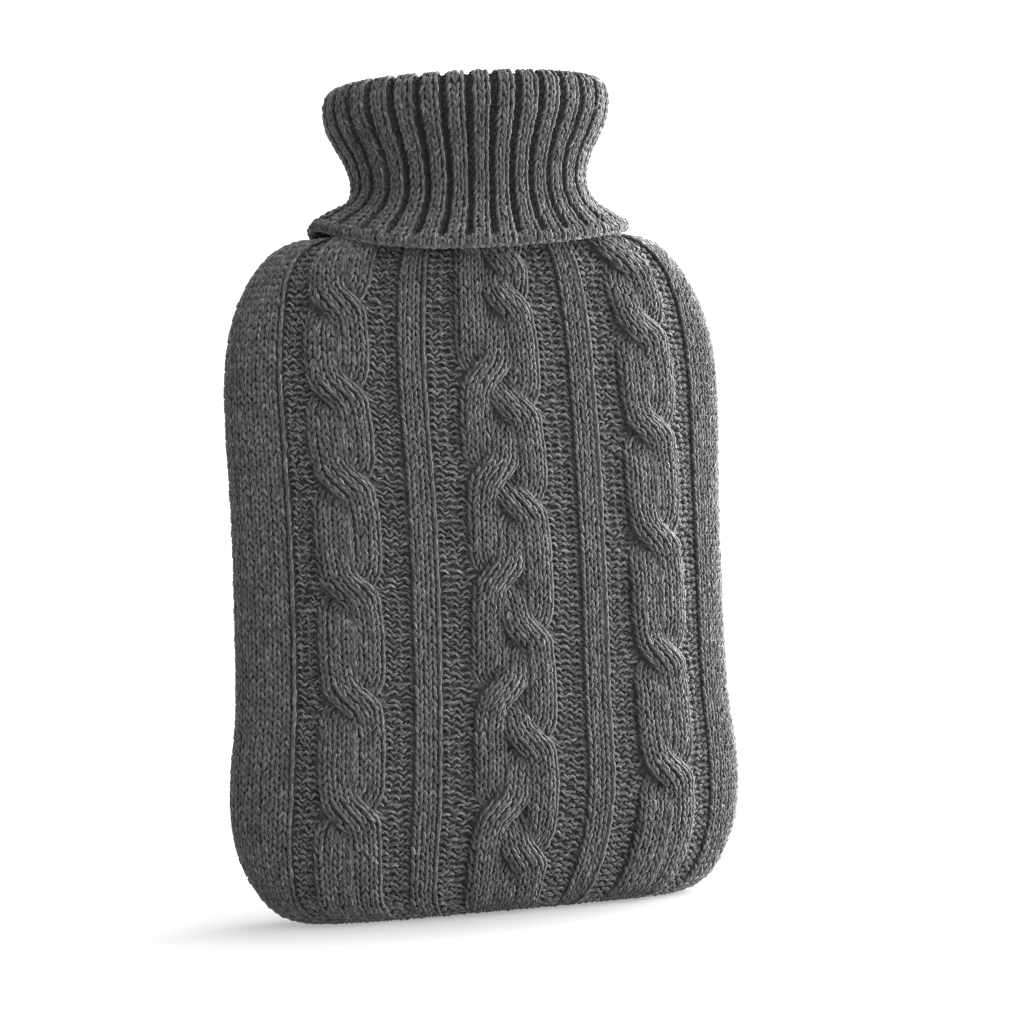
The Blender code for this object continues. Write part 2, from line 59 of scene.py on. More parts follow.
# The cloth, in millimetres, as the solids have it; levels are over the plain borders'
PIECE_GAP = 0.3
PANEL_WALL = 4.0
NECK_WALL = 4.2
CLOTH_HALF = 116.5  # across the cloth, from the centre line to a side seam
BORDER_EDGE = 88.5
CABLE_PLACE = 66.3
RIB_PLACE = 36.1
RIB_HALF = 5.4
GROUND = -1.7
RIB_RISE = 0.3
STRAND_RISE = 2.1
STRAND_LIFT = 2.0  # a strand rises this much more where it crosses over
EDGE_RUN = 1.4  # one level eases into the next over this width
SEAM_INSET = 14.0  # each end of the base is this much shorter at its seam

# The relief eases out nearer to the floor and to the neck than it does in the solids
FLAT_BELOW = 9.0
TUCK_TOP = 279.0
TUCK_RUN = 8.0


class Section(NamedTuple):
    """One level section of the filled body, in millimetres."""

    height: float
    half_width: float
    half_depth: float
    squareness: float
    lean: float = 0.0  # how much higher it stands at the right than at the middle


BODY_SECTIONS = (
    Section(0.0, 79.0, 15.0, 2.9),
    Section(1.6, 86.3, 18.6, 2.8),
    Section(6.5, 94.0, 22.3, 2.7),
    Section(15.0, 100.6, 25.2, 2.6),
    Section(26.0, 105.9, 27.2, 2.5),
    Section(40.0, 109.0, 28.5, 2.4),
    Section(55.0, 109.1, 29.3, 2.35),
    Section(82.0, 106.1, 30.0, 2.3),
    Section(123.0, 105.0, 30.2, 2.27),
    Section(165.0, 105.0, 30.0, 2.27),
    Section(200.0, 106.0, 29.4, 2.27),
    Section(220.0, 105.5, 29.0, 2.25),
    Section(236.0, 102.8, 29.0, 2.2),
    Section(249.0, 98.0, 29.6, 2.1),
    Section(260.2, 91.0, 30.0, 2.0, 0.3),
    Section(267.8, 83.5, 29.4, 1.85, 0.8),
    Section(271.0, 77.0, 29.0, 1.8, 1.0),
    Section(272.9, 66.5, 29.0, 1.8, 1.0),
    Section(276.0, 55.0, 29.8, 1.9, 0.8),
    Section(282.9, 46.5, 31.2, 2.0, 0.4),
    Section(293.0, 41.5, 31.0, 2.0),
)


class Draw(NamedTuple):
    """How the cloth's columns are drawn aside at one height, in millimetres."""

    height: float
    shift: float  # the middle ones, to the right
    spread: float  # those beside the borders, away from the middle


DRAWS = (
    Draw(0.0, -6.5, 5.0),
    Draw(8.0, -6.0, 5.0),
    Draw(18.0, -4.0, 3.0),
    Draw(45.0, -0.5, 0.0),
    Draw(80.0, 0.0, 0.0),
    Draw(160.0, 0.0, 0.0),
    Draw(206.0, -1.5, 0.0),
    Draw(246.0, -3.0, 2.5),
    Draw(256.0, -3.8, 4.5),
    Draw(266.0, -4.6, 6.0),
    Draw(293.0, -4.6, 6.0),
)
SPREAD_PEAK = 0.186  # the highest value of share cubed times 1 - share squared


class Turn(NamedTuple):
    """One ring of the neck's cloth, measured at mid-thickness, in millimetres."""

    height: float
    half_width: float
    half_depth: float
    front_drop: float
    lean: float


NECK_TURNS = (
    Turn(BODY_SECTIONS[-1].height + PIECE_GAP, 39.5, 29.0, 0.0, 0.0),
    Turn(302.0, 38.4, 28.2, 0.0, 0.3),
    Turn(312.0, 40.6, 30.0, 0.0, 0.9),
    Turn(321.0, 44.6, 33.6, 0.0, 1.4),
    Turn(328.0, 47.6, 36.4, 0.0, 1.7),
    Turn(331.6, 49.6, 38.4, 0.0, 1.8),
    Turn(332.9, 52.9, 41.0, 0.0, 1.8),
    Turn(331.4, 55.6, 43.2, 0.0, 1.8),
    Turn(327.5, 56.8, 44.0, 0.0, 1.7),
    Turn(320.5, 56.4, 43.2, 0.0, 1.6),
    Turn(313.0, 53.1, 40.4, 0.2, 1.4),
    Turn(305.5, 48.9, 37.6, 0.6, 1.2),
    Turn(297.5, 46.7, 36.0, 1.6, 1.1),
    Turn(291.5, 47.0, 35.8, 3.2, 1.0),
    Turn(286.5, 50.3, 36.7, 5.0, 0.8),
    Turn(282.2, 57.3, 38.4, 7.4, 0.4),
    Turn(278.8, 64.2, 40.4, 9.7, 0.4),
    Turn(277.1, 67.1, 41.4, 10.7, 0.4),
)
DROP_POWER = 1.3  # how the drop grows from the neck's sides to its front and back
DROP_SKEW = 0.38  # and how much more of it there is at the left
NECK_SQUARENESS = 2.2
NECK_SHIFT = -0.7
FOLD_TURN = 6  # the turn at the top of the fold
NECK_RIBS = 32
RIB_VALLEY = 2.7  # depth of the valleys between ribs
RIB_CROWN = 0.5  # a rib's crest falls this much from its middle to its sides
RIB_CREST_SHARE = 0.31  # half of a crest's width, in ribs
RIB_FOOT_SHARE = 0.44  # from a rib's middle to the bottom of a valley, in ribs
LIP_SHARE = 0.022  # of the cloth's length, smooth at its cast-off edge
INSIDE_RIB_SHARE = 0.5  # of their depth that the valleys have inside the neck
FOLD_RUN = 9.0  # past the fold they reach their full depth over this length


class Crossing(NamedTuple):
    """Two neighbouring strands change places."""

    height: float  # mm above the floor
    left_place: int  # the left one of the two places, counted from 0
    upper_moves: int  # the upper strand's way as it comes down: 1 to the right, -1 left


class Plait(NamedTuple):
    """A rope cable or a braid on the front, in millimetres."""

    centre: float
    places: tuple[float, ...]  # of its strands between crossings, from its centre
    strand_half: float
    crossings: tuple[Crossing, ...]


CROSSING_HALF = 10.5
DIP_HALF = 16.0  # the lower strand comes up again more slowly than the upper one goes down
DIP_DEPTH = 1.5  # and dips this many times as far as the upper one rises
QUICK_HALF = 7.0  # the upper strand goes across in a quick step within a slow one
SLOW_HALF = 18.0
QUICK_SHARE = 0.55
ROPE_PLACES = (-6.0, 6.0)
ROPE_STRAND_HALF = 7.1
BRAID_PLACES = (-10.9, 0.0, 10.9)
BRAID_STRAND_HALF = 6.8
LEFT_ROPE_HEIGHTS = (244.6, 210.2, 174.4, 132.4, 89.5, 45.0)
RIGHT_ROPE_HEIGHTS = (261.0, 233.0, 192.2, 148.2, 100.0, 52.8)
BRAID_RIGHT_HEIGHTS = (261.0, 244.0, 201.6, 162.6, 112.0, 68.8, 23.0)
BRAID_LEFT_HEIGHTS = (216.2, 176.8, 136.0, 90.0, 43.2)


def cross_at(heights: tuple[float, ...], left_place: int, upper_moves: int) -> tuple:
    """Returns a crossing at each of some heights, all of the same two places."""
    return tuple(Crossing(height, left_place, upper_moves) for height in heights)


LEFT_ROPE = Plait(
    -CABLE_PLACE, ROPE_PLACES, ROPE_STRAND_HALF, cross_at(LEFT_ROPE_HEIGHTS, 0, 1)
)
RIGHT_ROPE = Plait(
    CABLE_PLACE, ROPE_PLACES, ROPE_STRAND_HALF, cross_at(RIGHT_ROPE_HEIGHTS, 0, 1)
)
BRAID_CROSSINGS = cross_at(BRAID_RIGHT_HEIGHTS, 1, 1) + cross_at(BRAID_LEFT_HEIGHTS, 0, -1)
BRAID = Plait(
    0.0, BRAID_PLACES, BRAID_STRAND_HALF, tuple(sorted(BRAID_CROSSINGS, reverse=True))
)

# The knitting: about 27 stitches and 36 rows in 100 mm
ROW = 2.75  # height of one row of stitches
FIRST_ROW = 0.6  # rows from the base seam to the first stitches
BORDER_WALES = 8
RIB_WALES = 3
PURL_WALES = 3
STRAND_WALES = 4
UNDER_STRAND_WALES = 3  # purl wales for each strand of a plait, seen between its strands
BACK_WALES = 64
LEG_SHARE = 0.21  # half of a knit leg's width, in stitch widths
BUMP_THICK = 0.66  # half of the yarn's thickness in a purl bump, in mm
PURL_SLANT = 0.22  # rows that a purl bump drops from its left end to its right one
PURL_UNEVEN = 0.3  # and how much that differs from one to the next
STRAND_SPREAD = 0.74  # share of half a strand that its outer wales' centres lie at
STRAND_EDGE = 0.97  # share of half a strand that the ground beside it begins at
TOP_ROW_HEIGHT = 279.0  # the panels' stitches end here, well under the neck
BACKING_SINK = 1.35  # the backing lies this far under the tops of the stitches
PROUD = 0.3  # the stitches' tops stand this far over the solids,
BASE_SINK = 0.55  # but this much lower at the floor,
BASE_RUN = 8.0  # which eases out over this height
HIDDEN_UNDER = 1.6  # a stitch this far under the strand over it is left out
ROUND_SIDES = 5  # points round the yarn,
PLAIN_SIDES = 4  # and round the yarn of the back, the ground and the valleys


class Unevenness(NamedTuple):
    """How much stitches differ from one to the next, as standard deviations."""

    rise: float  # of their place up the cloth, in rows
    aside: float  # of their place across it, in mm, and on the neck in ribs
    lean: float  # of how much further aside they are for each row up
    size: float  # of their yarn's thickness, as a share
    drift: float = 0.0  # of a wale's place from one row to the next, in mm
    lift: float = 0.0  # of their height over the cloth, in mm


PANEL_UNEVENNESS = Unevenness(
    rise=0.09, aside=0.08, lean=0.2, size=0.11, drift=0.03, lift=0.1
)
NECK_UNEVENNESS = Unevenness(rise=0.07, aside=0.015, lean=0.03, size=0.1)


def smooth_step(value: Array) -> Array:
    """Returns a value eased from 0 to 1, and 0 or 1 past them."""
    value = np.clip(value, 0.0, 1.0)
    return value * value * (3.0 - 2.0 * value)


class SmoothTable:
    """A smooth line through the rows of a table, by the distance along them."""

    def __init__(self, rows: tuple, measure: int) -> None:
        """Measures the distance between rows in their leading columns.

        Args:
            rows: The table's rows, in order.
            measure: How many leading columns the distance is measured in.
        """
        self.values = np.array(rows, float)
        steps = np.linalg.norm(np.diff(self.values[:, :measure], axis=0), axis=1)
        self.along = np.concatenate([[0.0], np.cumsum(steps)])
        self.slopes = np.gradient(self.values, self.along, axis=0)
        self.length = float(self.along[-1])

    def at(self, distance: Array) -> Array:
        """Reads the table between its rows.

        Args:
            distance: Distances along it.

        Returns:
            A row of the table's columns for each.
        """
        distance = np.clip(distance, 0.0, self.length)
        index = np.searchsorted(self.along, distance, side="right") - 1
        index = np.clip(index, 0, len(self.along) - 2)
        span = (self.along[index + 1] - self.along[index])[:, None]
        t = (distance - self.along[index])[:, None] / span
        start, end = self.values[index], self.values[index + 1]
        leave, arrive = self.slopes[index] * span, self.slopes[index + 1] * span
        return (
            start * (2 * t**3 - 3 * t**2 + 1)
            + leave * (t**3 - 2 * t**2 + t)
            + end * (3 * t**2 - 2 * t**3)
            + arrive * (t**3 - t**2)
        )


def arch(section: tuple[float, float, float], shares: Array) -> Array:
    """Finds points of the front half of a superellipse by their share of its length.

    Args:
        section: Half width, half depth and squareness.
        shares: Shares, -1 at the left end and 1 at the right one.

    Returns:
        A row (across, depth) for each share.
    """
    half_width, half_depth, squareness = section
    angle = np.linspace(-math.pi / 2, math.pi / 2, 241)
    power = 2.0 / squareness
    across = half_width * np.sign(angle) * np.abs(np.sin(angle)) ** power
    depth = half_depth * np.abs(np.cos(angle)) ** power
    run = np.concatenate([[0.0], np.cumsum(np.hypot(np.diff(across), np.diff(depth)))])
    share = run / run[-1] * 2.0 - 1.0
    return np.stack([np.interp(shares, share, across), np.interp(shares, share, depth)], 1)


def unit(vectors: Array) -> Array:
    """Returns vectors of length one along the last axis."""
    return vectors / np.maximum(np.linalg.norm(vectors, axis=-1, keepdims=True), 1e-12)


@dataclass
class ClothMap:
    """Where a cloth lies in space: a grid of points and of outward directions."""

    points: Array
    normals: Array

    def lay(self, row: Array, column: Array, lift: Array) -> tuple:
        """Places points of the cloth.

        Args:
            row: Grid rows, with fractions.
            column: Grid columns, with fractions.
            lift: Height over the map's surface, in millimetres.

        Returns:
            The points in millimetres, and the outward direction at each.
        """
        last_row, last_column = self.points.shape[0] - 2, self.points.shape[1] - 2
        i = np.clip(np.floor(row).astype(int), 0, last_row)
        j = np.clip(np.floor(column).astype(int), 0, last_column)
        s = np.clip(row - i, 0.0, 1.0)[..., None]
        t = np.clip(column - j, 0.0, 1.0)[..., None]
        found = []
        for grid in (self.points, self.normals):
            low = grid[i, j] * (1 - t) + grid[i, j + 1] * t
            high = grid[i + 1, j] * (1 - t) + grid[i + 1, j + 1] * t
            found.append(low * (1 - s) + high * s)
        normals = unit(found[1])
        return found[0] + normals * lift[..., None], normals


class BodyMap:
    """The filled body's surface, front or back, from the base seam to the top."""

    STEP = 1.0  # mm between the rows that it is worked out on
    COLUMNS = 235  # points in each row
    BASE_SHARE = 0.9  # of the way from the base seam to its corner, that faces down
    EDGE_PART = 5  # one such part at each side is left out of the length

    def __init__(self, side: int) -> None:
        """Works the surface out.

        Args:
            side: -1 for the front and 1 for the back.
        """
        table = SmoothTable(BODY_SECTIONS, 2)
        self.foot = BODY_SECTIONS[0].half_depth
        self.length = self.foot + table.length
        count = int(self.length / self.STEP) + 1
        self.along = np.linspace(0.0, self.length, count)
        sections = table.at(self.along - self.foot)
        self.heights = sections[:, 0]
        shares = np.linspace(-1.0, 1.0, self.COLUMNS)
        draws = SmoothTable(DRAWS, 1)
        pull = shares**3 * (1.0 - shares**2)
        points = np.zeros((count, self.COLUMNS, 3))
        for row, (along, section) in enumerate(zip(self.along, sections)):
            height, half_width, half_depth, squareness, lean = section
            if along < self.foot:
                half_width -= SEAM_INSET * (1.0 - along / self.foot)
                half_depth = max(along, 1e-6)
            _, shift, spread = draws.at(np.array([height]))[0]
            moved = shift * (1.0 - shares**4) + spread * pull / SPREAD_PEAK
            line = arch((half_width, half_depth, squareness), shares + moved / CLOTH_HALF)
            points[row, :, 0], points[row, :, 1] = line[:, 0], -line[:, 1]
            points[row, :, 2] = height + lean * line[:, 0] / half_width
        normals = np.cross(np.gradient(points, axis=1), np.gradient(points, axis=0))
        normals[self.along < self.foot * self.BASE_SHARE] = (0.0, 0.0, -1.0)
        normals[:, (0, -1), 1] = 0.0
        flip = np.array((1.0, -float(side), 1.0))
        points[:, :, 1] -= PIECE_GAP / 2
        self.cloth = ClothMap(points * flip, unit(normals) * flip)
        steps = np.linalg.norm(np.diff(points, axis=0), axis=2)
        margin = self.COLUMNS // self.EDGE_PART
        steps = steps[:, margin:-margin].mean(axis=1)
        self.climb = np.concatenate([[0.0], np.cumsum(steps)])

    def climbed(self, distance: Array) -> Array:
        """Returns the distances along the table at true distances up the cloth."""
        return np.interp(distance, self.climb, self.along)

    def height(self, along: Array) -> Array:
        """Returns the heights above the floor at distances along the body."""
        return np.interp(along, self.along, self.heights)

    def lay(self, across: Array, along: Array, lift: Array) -> tuple:
        """Places points of the cloth.

        Args:
            across: Distances across it from its centre line, in mm.
            along: Distances along it from the base seam, in mm.
            lift: Heights over the body, in mm.

        Returns:
            The points in millimetres, and the outward direction at each.
        """
        column = (across / CLOTH_HALF + 1.0) / 2.0 * (self.COLUMNS - 1)
        row = along / self.length * (len(self.along) - 1)
        return self.cloth.lay(row, column, lift)


def share_crossed(below: Array, upper: bool) -> Array:
    """Follows a strand's way across at a crossing.

    Args:
        below: How far under the crossing's middle it has come, in mm.
        upper: Whether it is the upper strand, which takes the rounder way.

    Returns:
        The share of its way across that it has gone.
    """
    if not upper:
        return smooth_step(below / (2.0 * CROSSING_HALF) + 0.5)
    quick = smooth_step(below / (2.0 * QUICK_HALF) + 0.5)
    slow = smooth_step(below / (2.0 * SLOW_HALF) + 0.5)
    return QUICK_SHARE * quick + (1.0 - QUICK_SHARE) * slow


def nearness(height: Array, level: float, half: float) -> Array:
    """Returns 1 at a level, easing to 0 as far as half above and below it."""
    return 1.0 - smooth_step(np.abs(height - level) / half)


class Strand:
    """One strand of a plait, followed from the top to the base."""

    def __init__(self, plait: Plait, start: int) -> None:
        """Follows the strand.

        Args:
            plait: The plait that it belongs to.
            start: Its place at the top, counted from 0 at the left.
        """
        self.plait = plait
        self.start = plait.places[start]
        self.moves: list[tuple[float, float, int]] = []  # height, way, 1 over or -1 under
        place = start
        for crossing in plait.crossings:
            pair = (crossing.left_place, crossing.left_place + 1)
            if place not in pair:
                continue
            target = pair[0] + pair[1] - place
            upper = 1 if (target > place) == (crossing.upper_moves > 0) else -1
            way = plait.places[target] - plait.places[place]
            self.moves.append((crossing.height, way, upper))
            place = target

    def across(self, height: Array) -> Array:
        """Finds the strand.

        Args:
            height: Heights above the floor, in mm.

        Returns:
            Its distance from the plait's centre at each, in mm.
        """
        where = np.full_like(height, self.start)
        for level, way, upper in self.moves:
            where += share_crossed(level - height, upper > 0) * way
        return where

    def lift(self, height: Array) -> Array:
        """Finds how far the strand is over or under the other one.

        Args:
            height: Heights above the floor, in mm.

        Returns:
            1 where it is on top, down to -DIP_DEPTH where it is under, else 0.
        """
        total = np.zeros_like(height)
        for level, _, upper in self.moves:
            half, depth = (CROSSING_HALF, 1.0) if upper > 0 else (DIP_HALF, -DIP_DEPTH)
            total += depth * nearness(height, level, half)
        return total

    def busy(self, height: Array) -> Array:
        """Finds where the strand is in a crossing, over or under.

        Args:
            height: Heights above the floor, in mm.

        Returns:
            1 at the middle of a crossing and 0 between them.
        """
        total = np.zeros_like(height)
        for level, _, _ in self.moves:
            total += nearness(height, level, DIP_HALF)
        return np.minimum(total, 1.0)

    def slant(self, height: Array) -> Array:
        """Returns how far the strand moves sideways for each mm of height."""
        return self.across(height + 0.5) - self.across(height - 0.5)

    def spread(self, height: Array) -> Array:
        """Returns how much wider a slanting strand is, measured level."""
        return np.hypot(1.0, self.slant(height))

    def rise(self, across: Array, height: Array) -> Array:
        """Finds the level of the strand's rounded surface.

        Args:
            across: Distances from the plait's centre, in mm.
            height: Heights above the floor, in mm.

        Returns:
            Its level over the plain borders', in mm; the ground's beside it.
        """
        offset = np.abs(across - self.across(height)) / self.spread(height)
        share = np.minimum(offset / self.plait.strand_half, 1.0)
        crown = STRAND_RISE + STRAND_LIFT * self.lift(height)
        return GROUND + (crown - GROUND) * np.sqrt(1.0 - share**4)


class PlaitForm:
    """The form of a whole plait: its strands and what fills between them."""

    def __init__(self, plait: Plait) -> None:
        """Follows each strand of the plait."""
        self.plait = plait
        self.strands = [Strand(plait, start) for start in range(len(plait.places))]

    def filling(self, across: Array, height: Array) -> Array:
        """Finds the level of the cloth that rounds a rope between crossings.

        Args:
            across: Distances from the plait's centre, in mm.
            height: Heights above the floor, in mm.

        Returns:
            Its level over the plain borders', in mm; in a braid, the ground's.
        """
        if len(self.strands) > 2:
            return np.full_like(across, GROUND)
        busy = self.strands[0].busy(height)
        share = np.minimum(np.abs(across) / self.plait.strand_half, 1.0)
        crown = (STRAND_RISE - GROUND) * (1.0 - busy) ** 2
        return GROUND + crown * np.sqrt(1.0 - share**4)

    def level(self, across: Array, height: Array) -> Array:
        """Finds the level of whatever lies highest in the plait.

        Args:
            across: Distances from the plait's centre, in mm.
            height: Heights above the floor, in mm.

        Returns:
            The level over the plain borders', in mm.
        """
        level = self.filling(across, height)
        for strand in self.strands:
            level = np.maximum(level, strand.rise(across, height))
        return level

    def edge(self, height: Array, side: int) -> Array:
        """Returns how far the plait reaches to one side, from its centre."""
        reach = [side * strand.across(height) for strand in self.strands]
        return np.max(reach, axis=0) + self.plait.strand_half * STRAND_EDGE


def pressed(level: Array, height: Array) -> Array:
    """Returns a level drawn in under the neck and flattened towards the floor."""
    level = GROUND + (level - GROUND) * smooth_step((TUCK_TOP - height) / TUCK_RUN)
    return level * smooth_step(height / FLAT_BELOW)


def proud(height: Array) -> Array:
    """Returns how far stitches stand over the solid; under 0 is inside it."""
    return PROUD - BASE_SINK * (1.0 - smooth_step(height / BASE_RUN))


class StitchPath(NamedTuple):
    """The path of one leg or arc of a stitch."""

    across: tuple[float, ...]  # in stitch widths from the wale's centre
    along: tuple[float, ...]  # in rows
    sink: tuple[float, ...]  # millimetres under the wale's level
    swell: tuple[float, ...]  # share of the yarn's full thickness


KNIT_LEG = StitchPath(
    (0.04, 0.13, 0.26, 0.36, 0.38),
    (-0.58, -0.22, 0.24, 0.68, 1.04),
    (1.9, 0.9, 0.5, 0.75, 1.8),
    (0.0, 0.85, 1.0, 0.86, 0.0),
)
# The right-hand leg beside lower ground is drawn outwards, which makes a line of it
EDGE_LEG = StitchPath(
    (0.27, 0.32, 0.38, 0.41, 0.38),
    (-0.66, -0.26, 0.24, 0.74, 1.12),
    (1.3, 0.55, 0.35, 0.5, 1.3),
    (0.0, 0.9, 1.05, 0.9, 0.0),
)
PURL_HEAD = StitchPath(
    (-0.5, -0.27, 0.0, 0.27, 0.5),
    (-0.42, -0.08, 0.16, -0.08, -0.42),
    (2.0, 0.65, 0.15, 0.65, 2.0),
    (0.0, 0.95, 1.1, 0.95, 0.0),
)
PURL_FOOT = StitchPath(
    (0.02, 0.24, 0.5, 0.76, 0.98),
    (0.90, 0.56, 0.32, 0.56, 0.90),
    (2.1, 0.95, 0.6, 0.95, 2.1),
    (0.0, 0.9, 1.0, 0.9, 0.0),
)
# Paths with fewer points, for the back and for the bottom of narrow valleys
PLAIN_LEG = StitchPath(
    (0.05, 0.20, 0.35, 0.38),
    (-0.58, -0.02, 0.55, 1.04),
    (1.7, 0.6, 0.65, 1.6),
    (0.0, 1.0, 1.0, 0.0),
)
PLAIN_HEAD = StitchPath(
    (-0.54, -0.18, 0.18, 0.54),
    (-0.42, 0.1, 0.1, -0.42),
    (1.9, 0.5, 0.5, 1.9),
    (0.0, 1.0, 1.0, 0.0),
)
PLAIN_FOOT = StitchPath(
    (-0.04, 0.32, 0.68, 1.04),
    (0.90, 0.4, 0.4, 0.90),
    (1.9, 0.5, 0.5, 1.9),
    (0.0, 1.0, 1.0, 0.0),
)


class Spines:
    """Paths of many legs and arcs of one piece, gathered before they are swept."""

    YARN_LENGTH = 400.0  # mm of yarn that the leaves take their places in the colours from

    def __init__(self) -> None:
        """Starts with none."""
        self.paths: list[tuple[Array, Array, Array, Array]] = []

    def add(self, laid: tuple, wide: Array, thick: Array, swell: tuple) -> None:
        """Adds paths.

        Args:
            laid: The points in millimetres and the outward directions.
            wide: Half of the yarn's width on each path.
            thick: Half of its thickness.
            swell: Share of both at each point of a path.
        """
        shares = np.array(swell)
        self.paths.append((*laid, wide[:, None] * shares, thick[:, None] * shares))

    def sweep(self, name: str, sides: int, rng: np.random.Generator) -> bpy.types.Object:
        """Sweeps the yarn along every path, as one mesh of closed leaves.

        Args:
            name: The piece's name.
            sides: Points round the yarn.
            rng: Source of each leaf's own place in the yarn's colours.

        Returns:
            The piece.
        """
        points, normals, wide, thick = (np.concatenate(kind) for kind in zip(*self.paths))
        count, length = points.shape[:2]
        tangents = unit(np.gradient(points, axis=1))
        beside = unit(np.cross(tangents, normals))
        over = unit(np.cross(beside, tangents))
        angle = (np.arange(sides) + 0.5) / sides * 2.0 * math.pi - math.pi / 2
        inner = slice(1, length - 1)
        rings = (
            points[:, inner, None]
            + beside[:, inner, None] * (wide[:, inner, None] * np.cos(angle))[..., None]
            + over[:, inner, None] * (thick[:, inner, None] * np.sin(angle))[..., None]
        )
        leaves = np.concatenate(
            [points[:, :1], rings.reshape(count, -1, 3), points[:, -1:]], axis=1
        )
        run = np.cumsum(np.linalg.norm(np.diff(points, axis=1), axis=2), axis=1)
        run = np.concatenate([np.zeros((count, 1)), run], axis=1)
        yarn = np.zeros(leaves.shape)
        yarn[:, 1:-1, 0] = np.repeat(run[:, inner], sides, axis=1)
        yarn[:, -1, 0] = run[:, -1]
        yarn[:, 1:-1, 1] = np.tile(np.arange(sides) / (sides - 1), length - 2)
        yarn[:, (0, -1), 1] = 0.5  # the two ends are points, on no side of the yarn
        yarn[:, :, 0] += rng.uniform(0.0, self.YARN_LENGTH, count)[:, None]
        yarn[:, :, 2] = rng.uniform(0.0, 1.0, count)[:, None]
        first_points = np.arange(count)[:, None, None] * leaves.shape[1]
        triangles = (leaf_faces(length - 2, sides)[None] + first_points).reshape(-1, 3)
        return new_piece(name, leaves.reshape(-1, 3), triangles, yarn.reshape(-1, 3))


def leaf_faces(rings: int, sides: int) -> Array:
    """Lists the triangles of one leaf: two points with rings between them.

    Args:
        rings: How many rings.
        sides: Points in each.

    Returns:
        Rows of three indexes; the rings' points stand between the two ends'.
    """
    faces = []
    last = 1 + rings * sides
    for k in range(sides):
        n = (k + 1) % sides
        faces.append((0, 1 + n, 1 + k))
        faces.append((last, last - sides + k, last - sides + n))
        for ring in range(rings - 1):
            a, b = 1 + ring * sides + k, 1 + ring * sides + n
            faces += [(a, b, b + sides), (a, b + sides, a + sides)]
    return np.array(faces)


def sheet_faces(rows: int, columns: int, wraps: bool) -> Array:
    """Returns the triangles of a closed sheet: an outer grid, an inner grid, rims.

    Args:
        rows: Rows of each grid.
        columns: Columns of each grid.
        wraps: Whether the last column meets the first one.

    Returns:
        Rows of three indexes; the inner grid's points follow the outer one's.
    """
    index = np.arange(rows * columns).reshape(rows, columns)
    inner = index + rows * columns
    if wraps:
        index, inner = (np.concatenate([grid, grid[:, :1]], axis=1) for grid in (index, inner))

    def quads(a: Array, b: Array, c: Array, d: Array) -> Array:
        """Returns the two triangles of each quad, by its four corners."""
        first = np.stack([a, b, c], -1).reshape(-1, 3)
        return np.concatenate([first, np.stack([a, c, d], -1).reshape(-1, 3)])

    parts = [
        quads(index[:-1, :-1], index[:-1, 1:], index[1:, 1:], index[1:, :-1]),
        quads(inner[:-1, :-1], inner[1:, :-1], inner[1:, 1:], inner[:-1, 1:]),
        quads(inner[0, :-1], inner[0, 1:], index[0, 1:], index[0, :-1]),
        quads(index[-1, :-1], index[-1, 1:], inner[-1, 1:], inner[-1, :-1]),
    ]
    if not wraps:
        parts += [
            quads(index[:-1, 0], index[1:, 0], inner[1:, 0], inner[:-1, 0]),
            quads(inner[:-1, -1], inner[1:, -1], index[1:, -1], index[:-1, -1]),
        ]
    return np.concatenate(parts)


def new_piece(
    name: str, points: Array, triangles: Array, yarn: Array | None = None
) -> bpy.types.Object:
    """Makes a smooth-shaded piece with its faces out.

    Args:
        name: The piece's name.
        points: Points in millimetres.
        triangles: Rows of three indexes.
        yarn: Place along and round the yarn and a number for each point's leaf.

    Returns:
        The piece, in the scene.
    """
    a, b, c = (points[triangles[:, k]] for k in range(3))
    if np.einsum("ij,ij->", a, np.cross(b, c)) < 0.0:
        triangles = triangles[:, ::-1]
    mesh = bpy.data.meshes.new(name)
    mesh.vertices.add(len(points))
    mesh.vertices.foreach_set("co", (points * MM).astype(np.float32).ravel())
    mesh.loops.add(triangles.size)
    mesh.loops.foreach_set("vertex_index", np.ascontiguousarray(triangles, np.int32).ravel())
    mesh.polygons.add(len(triangles))
    mesh.polygons.foreach_set("loop_start", np.arange(0, triangles.size, 3, dtype=np.int32))
    mesh.update(calc_edges=True)
    mesh.validate()
    mesh.shade_smooth()
    if yarn is not None:
        layer = mesh.attributes.new("yarn", "FLOAT_VECTOR", "POINT")
        layer.data.foreach_set("vector", yarn.astype(np.float32).ravel())
    piece = bpy.data.objects.new(name, mesh)
    bpy.context.scene.collection.objects.link(piece)
    LOG.info("%s: %d triangles", name, len(triangles))
    return piece


def closed_sheet(name: str, outer: Array, inner: Array, wraps: bool) -> bpy.types.Object:
    """Makes a sheet of cloth.

    Args:
        name: The piece's name.
        outer: The grid of points of its outer face, in millimetres.
        inner: The grid of its inner face.
        wraps: Whether its last column meets its first one.

    Returns:
        The piece.
    """
    rows, columns = outer.shape[:2]
    points = np.concatenate([outer.reshape(-1, 3), inner.reshape(-1, 3)])
    return new_piece(name, points, sheet_faces(rows, columns, wraps))


# Finishes


def linear(code: str) -> tuple[float, float, float, float]:
    """Turns an sRGB hex colour to the values that a shader takes.

    Args:
        code: The colour, such as #3a3a3a.

    Returns:
        Its linear red, green and blue, and an alpha of 1.
    """
    parts = [int(code[i : i + 2], 16) / 255.0 for i in (1, 3, 5)]
    values = [x / 12.92 if x <= 0.04045 else ((x + 0.055) / 1.055) ** 2.4 for x in parts]
    return (*values, 1.0)


